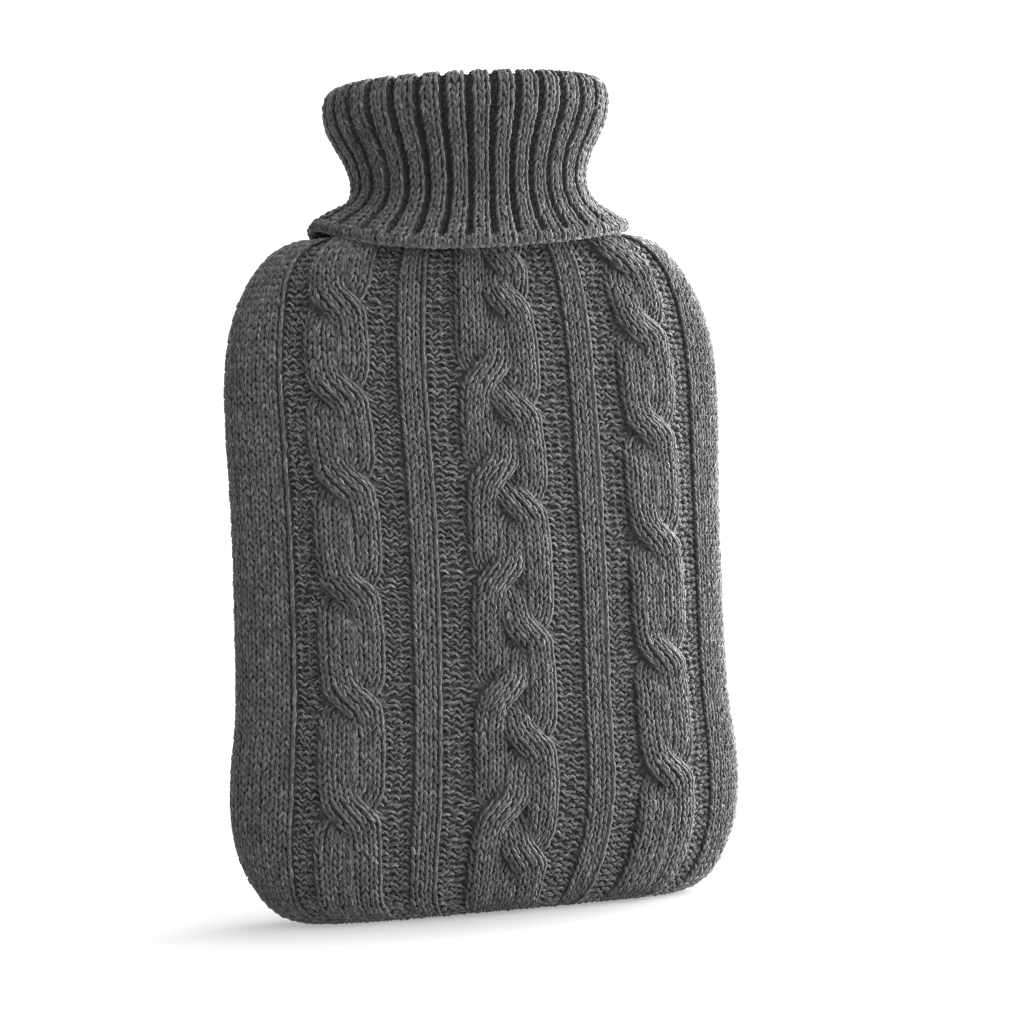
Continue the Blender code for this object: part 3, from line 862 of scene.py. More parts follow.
def add_node(
    tree: bpy.types.NodeTree, kind: str, links: dict | None = None, **settings: object
) -> bpy.types.Node:
    """Adds a node.

    Args:
        tree: The material's or world's node tree.
        kind: The node's type.
        links: Input socket, by name or index, to an output socket or a value.
        settings: Properties of the node.

    Returns:
        The node.
    """
    node = tree.nodes.new(kind)
    for key, value in settings.items():
        setattr(node, key, value)
    for key, value in (links or {}).items():
        if isinstance(value, bpy.types.NodeSocket):
            tree.links.new(value, node.inputs[key])
        else:
            node.inputs[key].default_value = value
    return node


class Coordinates(Enum):
    """What a yarn's pattern is laid out on."""

    YARN = "each leaf's own length and girth"
    CLOTH = "the object's own space"


@dataclass(frozen=True)
class HeatheredWool:
    """Heathered woollen yarn, carded from dark, mid and pale grey fibres.

    The mixed fibres give streaks along the yarn, each stitch differs a little
    from the next, and the raised fibres scatter light at glancing angles.
    """

    name: str
    coordinates: Coordinates = Coordinates.YARN
    dark: str = "#1a1a1a"
    middle: str = "#3a3a3a"
    pale: str = "#767675"
    dark_below: float = 0.30  # of the streaks' pattern
    pale_above: float = 0.71
    girth: float = 4.5  # mm round a yarn of this thickness
    streak_length: float = 2.6  # mm along the yarn before its fibres' colour changes
    streak_width: float = 0.42  # mm round it; real fibres are finer than a pixel
    streak_detail: float = 3.0  # finer streaks within them
    streak_roughness: float = 0.6
    leaf_step: float = 37.0  # how far apart leaves' patterns are cut at most, in streaks
    cloth_grain: float = 1.2  # mm of one streak where the pattern lies on the cloth
    patch_size: float = 9.0  # mm over which the cloth is a little darker or lighter
    patch_detail: float = 2.0
    chance_range: tuple[float, float] = (0.3, 1.7)  # of a leaf's own number and its patch's, summed
    shade_range: tuple[float, float] = (0.66, 1.38)  # how dark and how pale that makes it
    plies: int = 2
    ply_length: float = 3.4  # mm in which one ply winds round once
    ply_depth: float = 0.16  # mm of groove between two plies
    relief: float = 0.7  # share of that groove that shows
    roughness: float = 0.88
    specular: float = 0.25
    sheen: float = 0.22
    sheen_roughness: float = 0.45

    def material(self) -> bpy.types.Material:
        """Builds the material.

        Returns:
            The material, with its colour and its grooves from nodes.
        """
        material = bpy.data.materials.new(self.name)
        material.use_nodes = True
        tree = material.node_tree
        shader = tree.nodes["Principled BSDF"]
        shader.inputs["Roughness"].default_value = self.roughness
        shader.inputs["Specular IOR Level"].default_value = self.specular
        shader.inputs["Sheen Weight"].default_value = self.sheen
        shader.inputs["Sheen Roughness"].default_value = self.sheen_roughness
        if self.coordinates is Coordinates.YARN:
            source = add_node(tree, "ShaderNodeAttribute", attribute_name="yarn").outputs["Vector"]
            stretch = (1.0 / self.streak_length, self.girth / self.streak_width, self.leaf_step)
        else:
            source = add_node(tree, "ShaderNodeTexCoord").outputs["Object"]
            stretch = (1.0 / (self.cloth_grain * MM),) * 3
        placed = add_node(
            tree, "ShaderNodeVectorMath", {0: source, 1: stretch}, operation="MULTIPLY"
        ).outputs[0]
        streaks = add_node(
            tree,
            "ShaderNodeTexNoise",
            {
                "Vector": placed,
                "Scale": 1.0,
                "Detail": self.streak_detail,
                "Roughness": self.streak_roughness,
            },
        ).outputs["Fac"]
        ramp = add_node(tree, "ShaderNodeValToRGB", {0: streaks})
        ramp.color_ramp.elements[0].position = self.dark_below
        ramp.color_ramp.elements[0].color = linear(self.dark)
        ramp.color_ramp.elements[1].position = self.pale_above
        ramp.color_ramp.elements[1].color = linear(self.pale)
        ramp.color_ramp.elements.new(0.5).color = linear(self.middle)
        split = add_node(tree, "ShaderNodeSeparateXYZ", {0: source})
        place = add_node(tree, "ShaderNodeTexCoord").outputs["Object"]
        patches = add_node(
            tree,
            "ShaderNodeTexNoise",
            {
                "Vector": place,
                "Scale": 1.0 / (self.patch_size * MM),
                "Detail": self.patch_detail,
            },
        ).outputs["Fac"]
        own = split.outputs[2] if self.coordinates is Coordinates.YARN else patches
        shade = add_node(tree, "ShaderNodeMath", {0: own, 1: patches}, operation="ADD")
        shade = add_node(
            tree,
            "ShaderNodeMapRange",
            {
                "Value": shade.outputs[0],
                "From Min": self.chance_range[0],
                "From Max": self.chance_range[1],
                "To Min": self.shade_range[0],
                "To Max": self.shade_range[1],
            },
        )
        colour = add_node(
            tree,
            "ShaderNodeVectorMath",
            {0: ramp.outputs["Color"], "Scale": shade.outputs["Result"]},
            operation="SCALE",
        )
        tree.links.new(colour.outputs[0], shader.inputs["Base Color"])
        height = streaks
        if self.coordinates is Coordinates.YARN:
            height = self.wound(tree, split, streaks)
        bump = add_node(
            tree,
            "ShaderNodeBump",
            {"Height": height, "Strength": self.relief, "Distance": self.ply_depth * MM},
        )
        tree.links.new(bump.outputs[0], shader.inputs["Normal"])
        return material

    def wound(
        self, tree: bpy.types.NodeTree, split: bpy.types.Node, streaks: bpy.types.NodeSocket
    ) -> bpy.types.NodeSocket:
        """Adds the grooves of plies that wind round the yarn.

        Args:
            tree: The material's nodes.
            split: The node that gives the place along and round the yarn.
            streaks: The fibres' pattern, which roughens the plies.

        Returns:
            The yarn's height.
        """
        turned = add_node(
            tree,
            "ShaderNodeMath",
            {0: split.outputs[0], 1: 2.0 * math.pi / self.ply_length},
            operation="MULTIPLY",
        )
        winding = add_node(
            tree,
            "ShaderNodeMath",
            {0: split.outputs[1], 1: 2.0 * math.pi * self.plies, 2: turned.outputs[0]},
            operation="MULTIPLY_ADD",
        )
        plies = add_node(tree, "ShaderNodeMath", {0: winding.outputs[0]}, operation="SINE")
        return add_node(
            tree,
            "ShaderNodeMath",
            {0: plies.outputs[0], 1: 0.5, 2: streaks},
            operation="MULTIPLY_ADD",
        ).outputs[0]


@dataclass(frozen=True)
class OpalAcrylic:
    """Opal acrylic of a light table, lit from below, with a painted shadow under the cover.

    Its own light keeps the ground white, and its matt face takes little of the
    other lights, so that what stands on it throws a pale, soft shadow. Its glow is
    painted darker in an oval round the cover's base: a painted contact shadow.
    """

    name: str = "light_table_painted_shadow"
    colour: str = "#6a6a6a"
    light: str = "#ffffff"
    # Glow in the middle of the painted shadow, and glow away from it
    painted_shadow_glow: float = 0.37
    unshadowed_glow: float = 0.95
    painted_shadow_half_width: float = 90.0  # mm, half of the oval that the painted shadow is measured in
    painted_shadow_half_depth: float = 60.0
    painted_shadow_core: float = 0.4  # of the oval, over which the painted shadow is darkest
    painted_shadow_reach: float = 3.0  # of the oval, from where the glow is full and the painted shadow ends
    roughness: float = 0.9
    specular: float = 0.1

    def material(self) -> bpy.types.Material:
        """Builds the material.

        Returns:
            The material, which glows least under the cover, in a painted shadow.
        """
        material = bpy.data.materials.new(self.name)
        material.use_nodes = True
        tree = material.node_tree
        shader = tree.nodes["Principled BSDF"]
        place = add_node(tree, "ShaderNodeTexCoord").outputs["Object"]
        oval = (1.0 / (self.painted_shadow_half_width * MM), 1.0 / (self.painted_shadow_half_depth * MM), 0.0)
        place = add_node(tree, "ShaderNodeVectorMath", {0: place, 1: oval}, operation="MULTIPLY")
        away = add_node(tree, "ShaderNodeVectorMath", {0: place.outputs[0]}, operation="LENGTH")
        glow = add_node(
            tree,
            "ShaderNodeMapRange",
            {
                "Value": away.outputs["Value"],
                "From Min": self.painted_shadow_core,
                "From Max": self.painted_shadow_reach,
                "To Min": self.painted_shadow_glow,
                "To Max": self.unshadowed_glow,
            },
            interpolation_type="SMOOTHSTEP",
        )
        tree.links.new(glow.outputs["Result"], shader.inputs["Emission Strength"])
        shader.inputs["Emission Color"].default_value = linear(self.light)
        shader.inputs["Base Color"].default_value = linear(self.colour)
        shader.inputs["Roughness"].default_value = self.roughness
        shader.inputs["Specular IOR Level"].default_value = self.specular
        return material


STITCH_WOOL = HeatheredWool("heathered_wool_stitches")
# Purl bumps get paler colours and more sheen than the other stitches: painted light that offsets
# the shade of the sunken purl ground
LIGHTENED_BUMP_WOOL = HeatheredWool("heathered_wool_bumps_painted_light", middle="#434343", pale="#7e7e7d", sheen=0.3)
# The stitches at the bottom of the neck's narrow valleys get darker colours and almost no sheen:
# painted shade
SHADED_VALLEY_WOOL = HeatheredWool(
    "heathered_wool_valleys_painted_shade", dark="#0e0e0e", middle="#202020", pale="#444444", sheen=0.02
)
# The backing's yarn is darker than the stitches': painted shade in the gaps between stitches
SHADED_BACKING_WOOL = HeatheredWool(
    "heathered_wool_backing_painted_shade",
    Coordinates.CLOTH,
    dark="#151515",
    middle="#282828",
    pale="#454545",
    ply_depth=0.5,
)
MADE: dict[str, bpy.types.Material] = {}


def finish(wool: HeatheredWool) -> bpy.types.Material:
    """Finds a finish's material, which is made once.

    Args:
        wool: The finish.

    Returns:
        Its material.
    """
    if wool.name not in MADE:
        MADE[wool.name] = wool.material()
    return MADE[wool.name]


def hand_in(
    node: str,
    backing: bpy.types.Object,
    stitches: list[tuple[bpy.types.Object, HeatheredWool]],
) -> None:
    """Dresses the pieces of one cloth, hides the CAD node that they replace and hangs them under
    the root.

    Args:
        node: The CAD node that they replace.
        backing: The sheet under the stitches.
        stitches: The pieces on it, each with its finish.
    """
    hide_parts(node)
    for piece, wool in [*stitches, (backing, SHADED_BACKING_WOOL)]:
        piece.data.materials.append(finish(wool))
        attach(piece, "root")


class Wale(NamedTuple):
    """One column of stitches, by functions of its place on the cloth, in mm."""

    centre: ByHeight
    width: ByHeight
    level: ByPlace
    top: ByPlace  # the level of what may cover the wale
    edged: bool = False  # whether lower ground begins to its right


def steady(value: float) -> Callable[..., Array]:
    """Returns a function that gives the same value at every place."""
    return lambda place, *_: np.full_like(place, value)


@dataclass
class Panel:
    """One panel of the body, with its backing and its stitches."""

    node: str
    slot: str
    side: int  # -1 for the front and 1 for the back
    yarn_thick: float = 0.74  # half of the yarn's thickness, in mm
    leg: StitchPath = KNIT_LEG
    uneven: Unevenness = PANEL_UNEVENNESS
    backing_grid: tuple[int, int] = (100, 90)  # columns and rows

    def __post_init__(self) -> None:
        """Works out the surface and the rows."""
        self.body = BodyMap(self.side)
        last = float(np.interp(TOP_ROW_HEIGHT, self.body.heights, self.body.climb))
        self.rows = np.arange(0, int(last / ROW)) + FIRST_ROW
        self.rng = np.random.default_rng(SEED + self.side)

    def knit(self, spines: Spines, wales: list[Wale]) -> None:
        """Lays both legs of each knit stitch of some wales.

        Args:
            spines: Where the paths go.
            wales: The columns of stitches.
        """
        for wale in wales:
            for hand in (-1, 1):
                path = EDGE_LEG if wale.edged and hand > 0 else self.leg
                self.lay(spines, wale, path, hand, LEG_SHARE, self.yarn_thick)

    def purl(self, spines: Spines, wales: list[Wale]) -> None:
        """Lays both arcs of each purl stitch of some wales.

        Args:
            spines: Where the paths go.
            wales: The columns of stitches.
        """
        for wale in wales:
            for path in (PURL_HEAD, PURL_FOOT):
                self.lay(spines, wale, path, 1, 0.0, BUMP_THICK)

    def lay(
        self,
        spines: Spines,
        wale: Wale,
        path: StitchPath,
        hand: int,
        width_share: float,
        thick: float,
    ) -> None:
        """Lays one leg or arc of every stitch of a wale.

        Args:
            spines: Where the paths go.
            wale: The column of stitches.
            path: The leg's path.
            hand: -1 to mirror the path across the wale.
            width_share: Half of the yarn's width, in stitch widths; 0 in a purl
                bump, which slants and is as wide as it is thick.
            thick: Half of the yarn's thickness, in mm.
        """
        count = len(self.rows)
        path_along, path_across = np.array(path.along), np.array(path.across)
        rows = self.rows[:, None] + path_along
        rows = rows + self.rng.normal(0, self.uneven.rise, (count, 1))
        if width_share == 0.0:
            slant = self.rng.normal(PURL_SLANT, PURL_UNEVEN, (count, 1))
            rows = rows - slant * path_across
        along = self.body.climbed(rows * ROW)
        height = self.body.height(along)
        width = wale.width(height)
        drift = np.cumsum(self.rng.normal(0, self.uneven.drift, count))
        drift = (drift - np.linspace(drift[0], drift[-1], count))[:, None]
        across = wale.centre(height) + hand * path_across * width
        across += drift + self.rng.normal(0, self.uneven.aside, (count, 1))
        across += self.rng.normal(0, self.uneven.lean, (count, 1)) * path_along
        level = wale.level(across, height)
        cover = wale.top(across, height)
        middle = len(path.across) // 2
        seen = level[:, middle] > cover[:, middle] - HIDDEN_UNDER
        lift = pressed(level, height) + proud(height) - np.array(path.sink)
        lift += self.rng.normal(0, self.uneven.lift, (count, 1))
        across = np.clip(across, -CLOTH_HALF, CLOTH_HALF)
        size = self.rng.normal(1.0, self.uneven.size, count)
        thickness = thick * size
        wide = thickness if width_share == 0.0 else width[:, middle] * width_share * size
        laid = self.body.lay(across[seen], along[seen], lift[seen])
        spines.add(laid, wide[seen], thickness[seen], path.swell)

    def relief(self, across: Array, height: Array) -> Array:
        """Returns the level of the stitches at each place; plain by default."""
        return np.zeros_like(across)

    def backing(self) -> bpy.types.Object:
        """Makes the sheet under the stitches, where the yarn is out of sight.

        Returns:
            The sheet; at the base seam its outer face is on the floor and its
            inner one a wall's thickness over it.
        """
        columns, rows = self.backing_grid
        across, along = np.meshgrid(
            np.linspace(-CLOTH_HALF, CLOTH_HALF, columns),
            np.linspace(0.0, self.body.length, rows),
        )
        height = self.body.height(along)
        lift = pressed(self.relief(across, height), height) + PROUD - BACKING_SINK
        outer, _ = self.body.lay(across, along, lift)
        inner, _ = self.body.lay(across, along, np.full_like(lift, -PANEL_WALL))
        outer[0, :, 2] = 0.0
        for grid in (outer, inner):
            grid[..., 2] = np.maximum(grid[..., 2], 0.0)
        inner[0, :, 2] = PANEL_WALL
        return closed_sheet(self.node + "_backing", outer, inner, False)

    def show(self, stitches: list[tuple[bpy.types.Object, HeatheredWool]]) -> None:
        """Makes the backing and dresses the panel with it.

        Args:
            stitches: The panel's other pieces, each with its finish.
        """
        hand_in(self.node, self.backing(), stitches)


@dataclass
class FrontPanel(Panel):
    """The front: plain borders, two rope cables, two slim ribs and a braid."""

    def __post_init__(self) -> None:
        """Follows the strands of the three plaits."""
        super().__post_init__()
        self.plaits = [PlaitForm(plait) for plait in (LEFT_ROPE, BRAID, RIGHT_ROPE)]

    def relief(self, across: Array, height: Array) -> Array:
        """Finds the level of the front's stitches.

        Args:
            across: Distances across the cloth from its centre line, in mm.
            height: Heights above the floor, in mm.

        Returns:
            The level of whatever lies highest at each place, in mm.
        """
        border = smooth_step((np.abs(across) - BORDER_EDGE) / EDGE_RUN + 0.5)
        level = GROUND - border * GROUND
        rib = (RIB_HALF - np.abs(np.abs(across) - RIB_PLACE)) / EDGE_RUN + 0.5
        level = level + smooth_step(rib) * (RIB_RISE - GROUND)
        for form in self.plaits:
            level = np.maximum(level, form.level(across - form.plait.centre, height))
        return level

    def plain_wales(self, inner: float, outer: float, count: int, level: float) -> list[Wale]:
        """Places straight wales side by side on one level.

        Args:
            inner: Where the band begins at the left, across the cloth.
            outer: Where it ends at the right.
            count: How many wales fill it.
            level: Their level over the plain borders'.

        Returns:
            The wales, from left to right.
        """
        width = (outer - inner) / count
        wales = []
        for k in range(count):
            place = inner + width * (k + 0.5)
            edged = k == count - 1 and outer < CLOTH_HALF
            wales.append(Wale(steady(place), steady(width), steady(level), steady(level), edged))
        return wales

    def ground_wales(self, low: ByHeight, high: ByHeight, count: int) -> list[Wale]:
        """Places purl wales between two edges that move with the height.

        Args:
            low: The left edge across the cloth.
            high: The right edge.
            count: How many wales fill the ground between them.

        Returns:
            The wales, from left to right.
        """

        def width(height: Array) -> Array:
            """Returns one wale's share of the ground."""
            return (high(height) - low(height)) / count

        def centre(k: int) -> ByHeight:
            """Returns the function that places the wale with this number."""
            return lambda height: low(height) + width(height) * (k + 0.5)

        return [Wale(centre(k), width, steady(GROUND), self.relief) for k in range(count)]

    def strand_wales(self, form: PlaitForm, strand: Strand) -> list[Wale]:
        """Places the wales of one strand, which move with it.

        Args:
            form: The plait.
            strand: One of its strands.

        Returns:
            The wales, from left to right.
        """
        reach = form.plait.strand_half * STRAND_SPREAD
        width = 2.0 * reach / (STRAND_WALES - 1)
        middle = form.plait.centre

        def centre(offset: float) -> ByHeight:
            """Returns the function that places a wale; a slant spreads it."""
            return lambda height: middle + strand.across(height) + offset * strand.spread(height)

        def level(across: Array, height: Array) -> Array:
            """Returns the strand's own level."""
            own = strand.rise(across - middle, height)
            return np.maximum(own, form.filling(across - middle, height))

        def cover(across: Array, height: Array) -> Array:
            """Returns the level of whatever lies highest in the plait."""
            return form.level(across - middle, height)

        wales = []
        for k in range(STRAND_WALES):
            offset = reach * (2.0 * k / (STRAND_WALES - 1) - 1.0)
            edged = k == STRAND_WALES - 1
            wales.append(Wale(centre(offset), steady(width), level, cover, edged))
        return wales

    def plait_edges(self, form: PlaitForm) -> list[ByHeight]:
        """Finds how far a plait reaches across the front.

        Args:
            form: The plait.

        Returns:
            Two functions, for its left edge and its right one.
        """
        centre = form.plait.centre
        return [
            lambda height: centre - form.edge(height, -1),
            lambda height: centre + form.edge(height, 1),
        ]

    def build(self) -> None:
        """Knits the front, band by band."""
        borders, ribs, ground = Spines(), Spines(), Spines()
        self.knit(borders, self.plain_wales(-CLOTH_HALF, -BORDER_EDGE, BORDER_WALES, 0.0))
        self.knit(borders, self.plain_wales(BORDER_EDGE, CLOTH_HALF, BORDER_WALES, 0.0))
        rib_edges = []
        for place in (-RIB_PLACE, RIB_PLACE):
            left, right = place - RIB_HALF, place + RIB_HALF
            self.knit(ribs, self.plain_wales(left, right, RIB_WALES, RIB_RISE))
            rib_edges.append([steady(left), steady(right)])
        left_rope, braid, right_rope = (self.plait_edges(form) for form in self.plaits)
        edges = [steady(-BORDER_EDGE), *left_rope, *rib_edges[0], *braid]
        edges += [*rib_edges[1], *right_rope, steady(BORDER_EDGE)]
        for low, high in zip(edges[::2], edges[1::2]):
            self.purl(ground, self.ground_wales(low, high, PURL_WALES))
        for form in self.plaits:
            count = len(form.strands) * UNDER_STRAND_WALES
            self.purl(ground, self.ground_wales(*self.plait_edges(form), count))
        stitches = [
            (borders.sweep("front_border_stitches", ROUND_SIDES, self.rng), STITCH_WOOL),
            (ribs.sweep("front_rib_stitches", ROUND_SIDES, self.rng), STITCH_WOOL),
            (ground.sweep("front_purl_ground", PLAIN_SIDES, self.rng), LIGHTENED_BUMP_WOOL),
        ]
        for form, name in zip(self.plaits, ("left_cable", "centre_braid", "right_cable")):
            spines = Spines()
            for strand in form.strands:
                self.knit(spines, self.strand_wales(form, strand))
            piece = spines.sweep(name + "_stitches", ROUND_SIDES, self.rng)
            stitches.append((piece, STITCH_WOOL))
        self.show(stitches)


@dataclass
class BackPanel(Panel):
    """The back: plain stocking stitch from seam to seam."""

    leg: StitchPath = PLAIN_LEG
    backing_grid: tuple[int, int] = (60, 80)

    def build(self) -> None:
        """Knits the back in two halves, to keep each mesh small."""
        width = 2.0 * CLOTH_HALF / BACK_WALES
        places = [-CLOTH_HALF + width * (k + 0.5) for k in range(BACK_WALES)]
        wales = [Wale(steady(place), steady(width), steady(0.0), steady(0.0)) for place in places]
        stitches = []
        half = BACK_WALES // 2
        for name, part in (("left", wales[:half]), ("right", wales[half:])):
            spines = Spines()
            self.knit(spines, part)
            piece = spines.sweep(f"back_stitches_{name}", PLAIN_SIDES, self.rng)
            stitches.append((piece, STITCH_WOOL))
        self.show(stitches)


class NeckWale(NamedTuple):
    """How the wales at one kind of place of every rib are knitted."""

    places: tuple[float, ...]  # across a rib, 0 at its middle and 1 at the next one's
    share: float  # one wale's width as a share of the rib pitch
    thick: float  # half of the yarn's thickness, in mm
    sunk: float = 0.0  # how much deeper than the level the stitches lie, in mm


@dataclass(frozen=True)
class CastOff:
    """The thin chains along the cast-off edge; what is uneven is a standard deviation."""

    angles: tuple[float, ...] = (106.0, 132.0, 158.0)  # degrees round the edge, one a chain
    links_per_rib: int = 4
    link_half: float = 0.8  # half of a link's length, in links, so that they lap
    sink: tuple[float, ...] = (1.5, 0.7, 0.45, 0.7, 1.5)  # mm under the edge's surface
    lean: float = 14.0  # degrees round the edge that a link turns over half its length
    thick: float = 0.68  # half of the yarn's thickness, in mm
    uneven_place: float = 0.18  # links
    uneven_length: float = 0.15  # share
    uneven_lean: float = 5.0  # degrees
    uneven_angle: float = 4.0
    uneven_thick: float = 0.08  # mm


@dataclass
class RollNeck:
    """The ribbed neck: one cloth that goes up, folds over and comes down."""

    seed: int = SEED + 7
    step: float = 0.7  # mm between the rings that the surface is worked out on
    columns: int = NECK_RIBS * 8
    knit: NeckWale = NeckWale((-0.155, 0.155), 0.325, 0.78)
    purl: NeckWale = NeckWale((0.405, 0.595), 0.19, 0.6, 0.7)
    lip: NeckWale = NeckWale((0.405, 0.595), 0.22, 0.72)  # the valleys' wales at the edge
    cast_off: CastOff = CastOff()
    leg_share: float = 0.235  # half of a leg's width, in stitch widths
    uneven: Unevenness = NECK_UNEVENNESS
    seen_inside: float = 32.0  # the stitches begin this far inside the mouth
    lip_reach: float = 1.7  # the valleys end this many lips before the edge
    lip_roll: float = 1.4  # the rows go on this far round the cast-off edge
    backing_rows: int = 56
    backing_columns: int = NECK_RIBS * 6
    backing_stop: float = 1.8  # the backing ends this far before the cloth does
    backing_thinned: float = 0.8  # and is this much thinner there,
    backing_thin_run: float = 6.0  # over this length
    foot_reach: float = 2.2  # its foot laps this far over the panels' top edge

    def __post_init__(self) -> None:
        """Works the cloth's surface out, at mid-thickness."""
        self.rng = np.random.default_rng(self.seed)
        table = SmoothTable(NECK_TURNS, 2)
        self.length = table.length
        self.fold = float(table.along[FOLD_TURN])
        count = int(self.length / self.step) + 1
        self.along = np.linspace(0.0, self.length, count)
        steps = table.at(self.along + 0.5) - table.at(self.along - 0.5)
        sizes = np.hypot(steps[:, 0], steps[:, 1])
        turns = np.linspace(0.0, 1.0, self.columns + 1)
        points = np.zeros((count, len(turns), 3))
        normals = np.zeros_like(points)
        power = NECK_SQUARENESS - 1.0
        share = ((turns * 4.0 + 1.0) % 4.0) - 1.0
        hind = share > 1.0
        share = np.where(hind, 2.0 - share, share)
        for row, values in enumerate(table.at(self.along)):
            height, half_width, half_depth, front_drop, lean = values
            line = arch((half_width, half_depth, NECK_SQUARENESS), share)
            x, y = line[:, 0], np.where(hind, line[:, 1], -line[:, 1])
            out_x = np.sign(x) * np.abs(x / half_width) ** power / half_width
            out_y = np.sign(y) * np.abs(y / half_depth) ** power / half_depth
            wide, rise = -steps[row, 0] / sizes[row], steps[row, 1] / sizes[row]
            points[row, :, 0] = x + NECK_SHIFT
            points[row, :, 1] = y
            drop = front_drop * np.abs(y / half_depth) ** DROP_POWER
            drop = drop * (1.0 - DROP_SKEW * x / half_width)
            points[row, :, 2] = height - drop + lean * x / half_width
            normals[row, :, :2] = unit(np.stack([out_x, out_y], 1)) * wide
            normals[row, :, 2] = rise
        self.cloth = ClothMap(points, unit(normals))
        self.ahead = unit(points[-1] - points[-2])
        rim = np.linalg.norm(np.diff(points, axis=1), axis=2).sum(axis=1)
        self.pitch = rim / NECK_RIBS

    def lay(self, turn: Array, along: Array, lift: Array) -> tuple:
        """Places points of the cloth, which is rolled in round its cast-off edge.

        Args:
            turn: Shares of the way round.
            along: Distances along the cloth; past its end they go round the edge.
            lift: Height over mid-thickness, in mm.

        Returns:
            The points in millimetres, and the outward direction at each.
        """
        half = NECK_WALL / 2
        flat = np.minimum(along, self.length - half)
        column = (turn % 1.0) * self.columns
        row = flat / self.length * (len(self.along) - 1)
        points, normals = self.cloth.lay(row, column, np.zeros_like(lift))
        angle = ((along - flat) / half)[..., None]
        ahead = self.ahead[np.round(column).astype(int)]
        out = normals * np.cos(angle) + ahead * np.sin(angle)
        return points + out * lift[..., None], out

    def rib_share(self, along: Array) -> Array:
        """Finds how deep the valleys between ribs are.

        Args:
            along: Distances along the cloth, in mm.

        Returns:
            Shares of their full depth: less inside the neck, none at the edge.
        """
        inside = INSIDE_RIB_SHARE * smooth_step(along / self.fold)
        left = (self.length - along) / self.length
        past = smooth_step((along - self.fold) / FOLD_RUN)
        outside = INSIDE_RIB_SHARE + (1.0 - INSIDE_RIB_SHARE) * past
        outside = outside * smooth_step(left / LIP_SHARE - 1.0)
        return np.where(along < self.fold, inside, outside)

    def level(self, phase: Array, along: Array) -> Array:
        """Finds the stitches' level.

        Args:
            phase: Place across a rib, 0 at its middle and 1 at the next one's.
            along: Distance along the cloth, in mm.

        Returns:
            The level over mid-thickness, in mm.
        """
        off = np.abs(phase - np.round(phase))
        valley = smooth_step((off - RIB_CREST_SHARE) / (RIB_FOOT_SHARE - RIB_CREST_SHARE))
        crown = RIB_CROWN * (np.minimum(off, RIB_CREST_SHARE) / RIB_CREST_SHARE) ** 2
        return NECK_WALL / 2 - (RIB_VALLEY * valley + crown) * self.rib_share(along)

    def wale(
        self,
        spines: Spines,
        kind: NeckWale,
        place: float,
        path: StitchPath,
        hand: int,
        reach: tuple[float, float],
    ) -> None:
        """Lays one leg of every stitch of the wales at one place of all ribs.

        Args:
            spines: Where the paths go.
            kind: How these wales are knitted.
            place: The wale's place across a rib.
            path: The leg's path.
            hand: -1 to mirror the path.
            reach: Where along the cloth the wales begin and end.
        """
        path_along, path_across = np.array(path.along), np.array(path.across)
        rows = np.arange(reach[0] / ROW, reach[1] / ROW)
        rib, row = (grid.ravel() for grid in np.meshgrid(np.arange(NECK_RIBS), rows))
        count = len(rib)
        rise = self.rng.normal(0, self.uneven.rise, (count, 1))
        along = (row[:, None] + path_along + rise) * ROW
        phase = rib[:, None] + place + hand * path_across * kind.share
        phase += self.rng.normal(0, self.uneven.aside, (count, 1))
        phase += self.rng.normal(0, self.uneven.lean, (count, 1)) * path_along
        deep = kind.sunk * self.rib_share(along) ** 2
        lift = self.level(phase, along) + PROUD - deep - np.array(path.sink)
        pitch = np.interp(along[:, len(path.across) // 2], self.along, self.pitch)
        wide = pitch * kind.share * self.leg_share
        thickness = kind.thick * self.rng.normal(1.0, self.uneven.size, count)
        laid = self.lay(phase / NECK_RIBS, along, lift)
        spines.add(laid, wide, thickness, path.swell)

    def edge(self, spines: Spines) -> None:
        """Lays the thin chains of the cast-off, round the rolled edge.

        Args:
            spines: Where the paths go.
        """
        chain, rng = self.cast_off, self.rng
        links = NECK_RIBS * chain.links_per_rib
        span = np.linspace(-chain.link_half, chain.link_half, len(chain.sink))
        for angle in chain.angles:
            place = np.arange(links)[:, None] + rng.normal(0, chain.uneven_place, (links, 1))
            turn = (place + span * rng.normal(1.0, chain.uneven_length, (links, 1))) / links
            lean = rng.normal(chain.lean, chain.uneven_lean, (links, 1)) * span
            turned = np.radians(angle + lean + rng.normal(0, chain.uneven_angle, (links, 1)))
            along = self.length - NECK_WALL / 2 * (1.0 - turned)
            lift = np.zeros_like(turn) + NECK_WALL / 2 + PROUD - np.array(chain.sink)
            thickness = rng.normal(chain.thick, chain.uneven_thick, links)
            spines.add(self.lay(turn, along, lift), thickness, thickness, KNIT_LEG.swell)

    def backing(self) -> bpy.types.Object:
        """Makes the sheet under the stitches.

        Returns:
            The sheet, which closes the gap over the panels at its foot.
        """
        stop = self.length - self.backing_stop
        along, turn = np.meshgrid(
            np.linspace(0.0, stop, self.backing_rows),
            np.arange(self.backing_columns) / self.backing_columns,
            indexing="ij",
        )
        lift = self.level(turn * NECK_RIBS, along) + PROUD - BACKING_SINK
        outer, _ = self.lay(turn, along, lift)
        run = self.backing_thin_run
        inside = -NECK_WALL / 2 + self.backing_thinned * smooth_step((along - stop + run) / run)
        inner, _ = self.lay(turn, along, inside)
        for grid in (outer, inner):
            grid[0, :, 2] -= self.foot_reach
        return closed_sheet("roll_neck_backing", outer, inner, True)

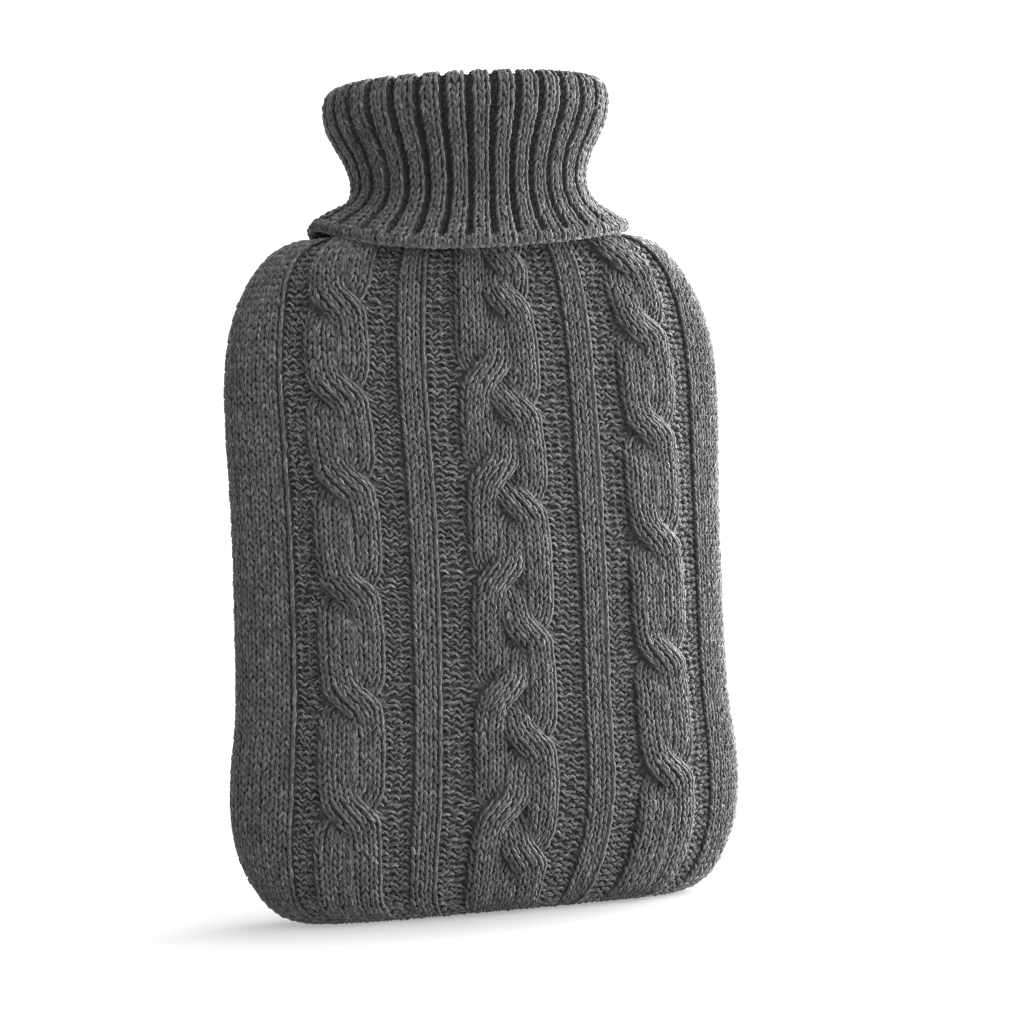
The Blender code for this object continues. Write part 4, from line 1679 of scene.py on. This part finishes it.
    def build(self) -> None:
        """Knits the neck."""
        ribs, valleys, rim = Spines(), Spines(), Spines()
        start = self.fold - self.seen_inside
        lip = self.length * (1.0 - self.lip_reach * LIP_SHARE)
        rolled = self.length + self.lip_roll
        for place in self.knit.places:
            for hand in (-1, 1):
                path = EDGE_LEG if place > 0.0 and hand > 0 else KNIT_LEG
                self.wale(ribs, self.knit, place, path, hand, (start, rolled))
        for place in self.purl.places:
            for path in (PLAIN_HEAD, PLAIN_FOOT):
                self.wale(valleys, self.purl, place, path, 1, (start, lip))
            for hand in (-1, 1):
                self.wale(rim, self.lip, place, KNIT_LEG, hand, (lip, rolled))
        self.edge(rim)
        stitches = [
            (ribs.sweep("neck_rib_stitches", ROUND_SIDES, self.rng), STITCH_WOOL),
            (valleys.sweep("neck_valley_stitches", PLAIN_SIDES, self.rng), SHADED_VALLEY_WOOL),
            (rim.sweep("neck_cast_off_edge", ROUND_SIDES, self.rng), STITCH_WOOL),
        ]
        hand_in("roll_neck", self.backing(), stitches)


class Softbox(NamedTuple):
    """A square soft light that looks at the middle of the cover."""

    name: str
    place: tuple[float, float, float]  # metres
    size: float  # metres
    power: float  # watts


@dataclass
class Studio:
    """The floor, the light and the camera; sizes in metres, angles in degrees."""

    yaw: float = 21.0
    distance: float = 1.100
    camera_height: float = 0.1605
    camera_shift: float = -0.0122
    roll: float = 2.0
    focal_pixels: float = 2695.0
    frame_pixels: float = 1024.0
    sensor: float = 36.0  # mm
    floor_reach: float = 6.0
    floor_drop: float = 0.0002  # keeps the floor's face clear of the cover's base
    bright_wall: tuple[float, float, float] = (0.96, -0.14, 0.23)  # the way to it
    room_light: float = 0.99
    wall_light: float = 6.2
    light_colour: str = "#ffffff"
    aim_height: float = 0.16
    softboxes: tuple[Softbox, ...] = (
        Softbox("key_softbox", (1.35, -0.42, 0.5), 1.2, 24.0),
        Softbox("rim_softbox", (1.3, 0.2, 0.42), 0.9, 112.0),
    )

    def floor(self) -> None:
        """Lays a plain pale floor that reaches out of view, with a painted shadow under the cover.
        """
        mesh = bpy.data.meshes.new("studio_floor")
        signs = ((-1, -1), (1, -1), (1, 1), (-1, 1))
        reach = self.floor_reach
        corners = [(x * reach, y * reach, -self.floor_drop) for x, y in signs]
        mesh.from_pydata(corners, [], [(0, 1, 2, 3)])
        floor = bpy.data.objects.new("studio_floor", mesh)
        floor.data.materials.append(OpalAcrylic().material())
        bpy.context.scene.collection.objects.link(floor)

    def hang(self, softbox: Softbox) -> None:
        """Hangs a soft light.

        Args:
            softbox: Its name, place, size and power.
        """
        data = bpy.data.lights.new(softbox.name, "AREA")
        data.shape = "SQUARE"
        data.size = softbox.size
        data.energy = softbox.power
        light = bpy.data.objects.new(softbox.name, data)
        light.location = softbox.place
        aim = Vector((0.0, 0.0, self.aim_height)) - Vector(softbox.place)
        light.rotation_euler = aim.to_track_quat("-Z", "Y").to_euler()
        bpy.context.scene.collection.objects.link(light)

    def light(self) -> None:
        """Lights the cover softly, more from the right, as in the photograph."""
        world = bpy.data.worlds.new("studio_light")
        world.use_nodes = True
        tree = world.node_tree
        background = tree.nodes["Background"]
        background.inputs["Color"].default_value = linear(self.light_colour)
        way = add_node(tree, "ShaderNodeTexCoord").outputs["Generated"]
        facing = add_node(
            tree, "ShaderNodeVectorMath", {0: way, 1: self.bright_wall}, operation="DOT_PRODUCT"
        )
        strength = add_node(
            tree,
            "ShaderNodeMapRange",
            {
                "Value": facing.outputs["Value"],
                "From Min": 0.0,
                "From Max": 1.0,
                "To Min": self.room_light,
                "To Max": self.wall_light,
            },
            interpolation_type="SMOOTHSTEP",
        )
        tree.links.new(strength.outputs["Result"], background.inputs["Strength"])
        bpy.context.scene.world = world
        for softbox in self.softboxes:
            self.hang(softbox)
        bpy.context.scene.view_settings.view_transform = "Standard"

    def camera(self) -> None:
        """Sets the camera where the photograph was taken from."""
        yaw, roll = math.radians(self.yaw), math.radians(self.roll)
        right = Vector((math.cos(yaw), -math.sin(yaw), 0.0))
        back = Vector((-math.sin(yaw), -math.cos(yaw), 0.0))
        up = Vector((0.0, 0.0, 1.0))
        place = back * self.distance - right * self.camera_shift + up * self.camera_height
        turned_right = right * math.cos(roll) - up * math.sin(roll)
        turned_up = up * math.cos(roll) + right * math.sin(roll)
        matrix = Matrix((turned_right, turned_up, back)).transposed().to_4x4()
        matrix.translation = place
        data = bpy.data.cameras.new("camera")
        data.sensor_width = self.sensor
        data.lens = self.focal_pixels / self.frame_pixels * self.sensor
        camera = bpy.data.objects.new("camera", data)
        camera.matrix_world = matrix
        bpy.context.scene.collection.objects.link(camera)
        bpy.context.scene.camera = camera

    def build(self) -> None:
        """Sets everything up."""
        self.floor()
        self.light()
        self.camera()


def main() -> None:
    """Builds the studio and dresses the cover."""
    logging.basicConfig(level=logging.INFO, format="%(message)s")
    Studio().build()
    FrontPanel("front_panel", "knit_front", -1).build()
    BackPanel("back_panel", "knit_back", 1).build()
    RollNeck().build()


if __name__ == "__main__":
    main()
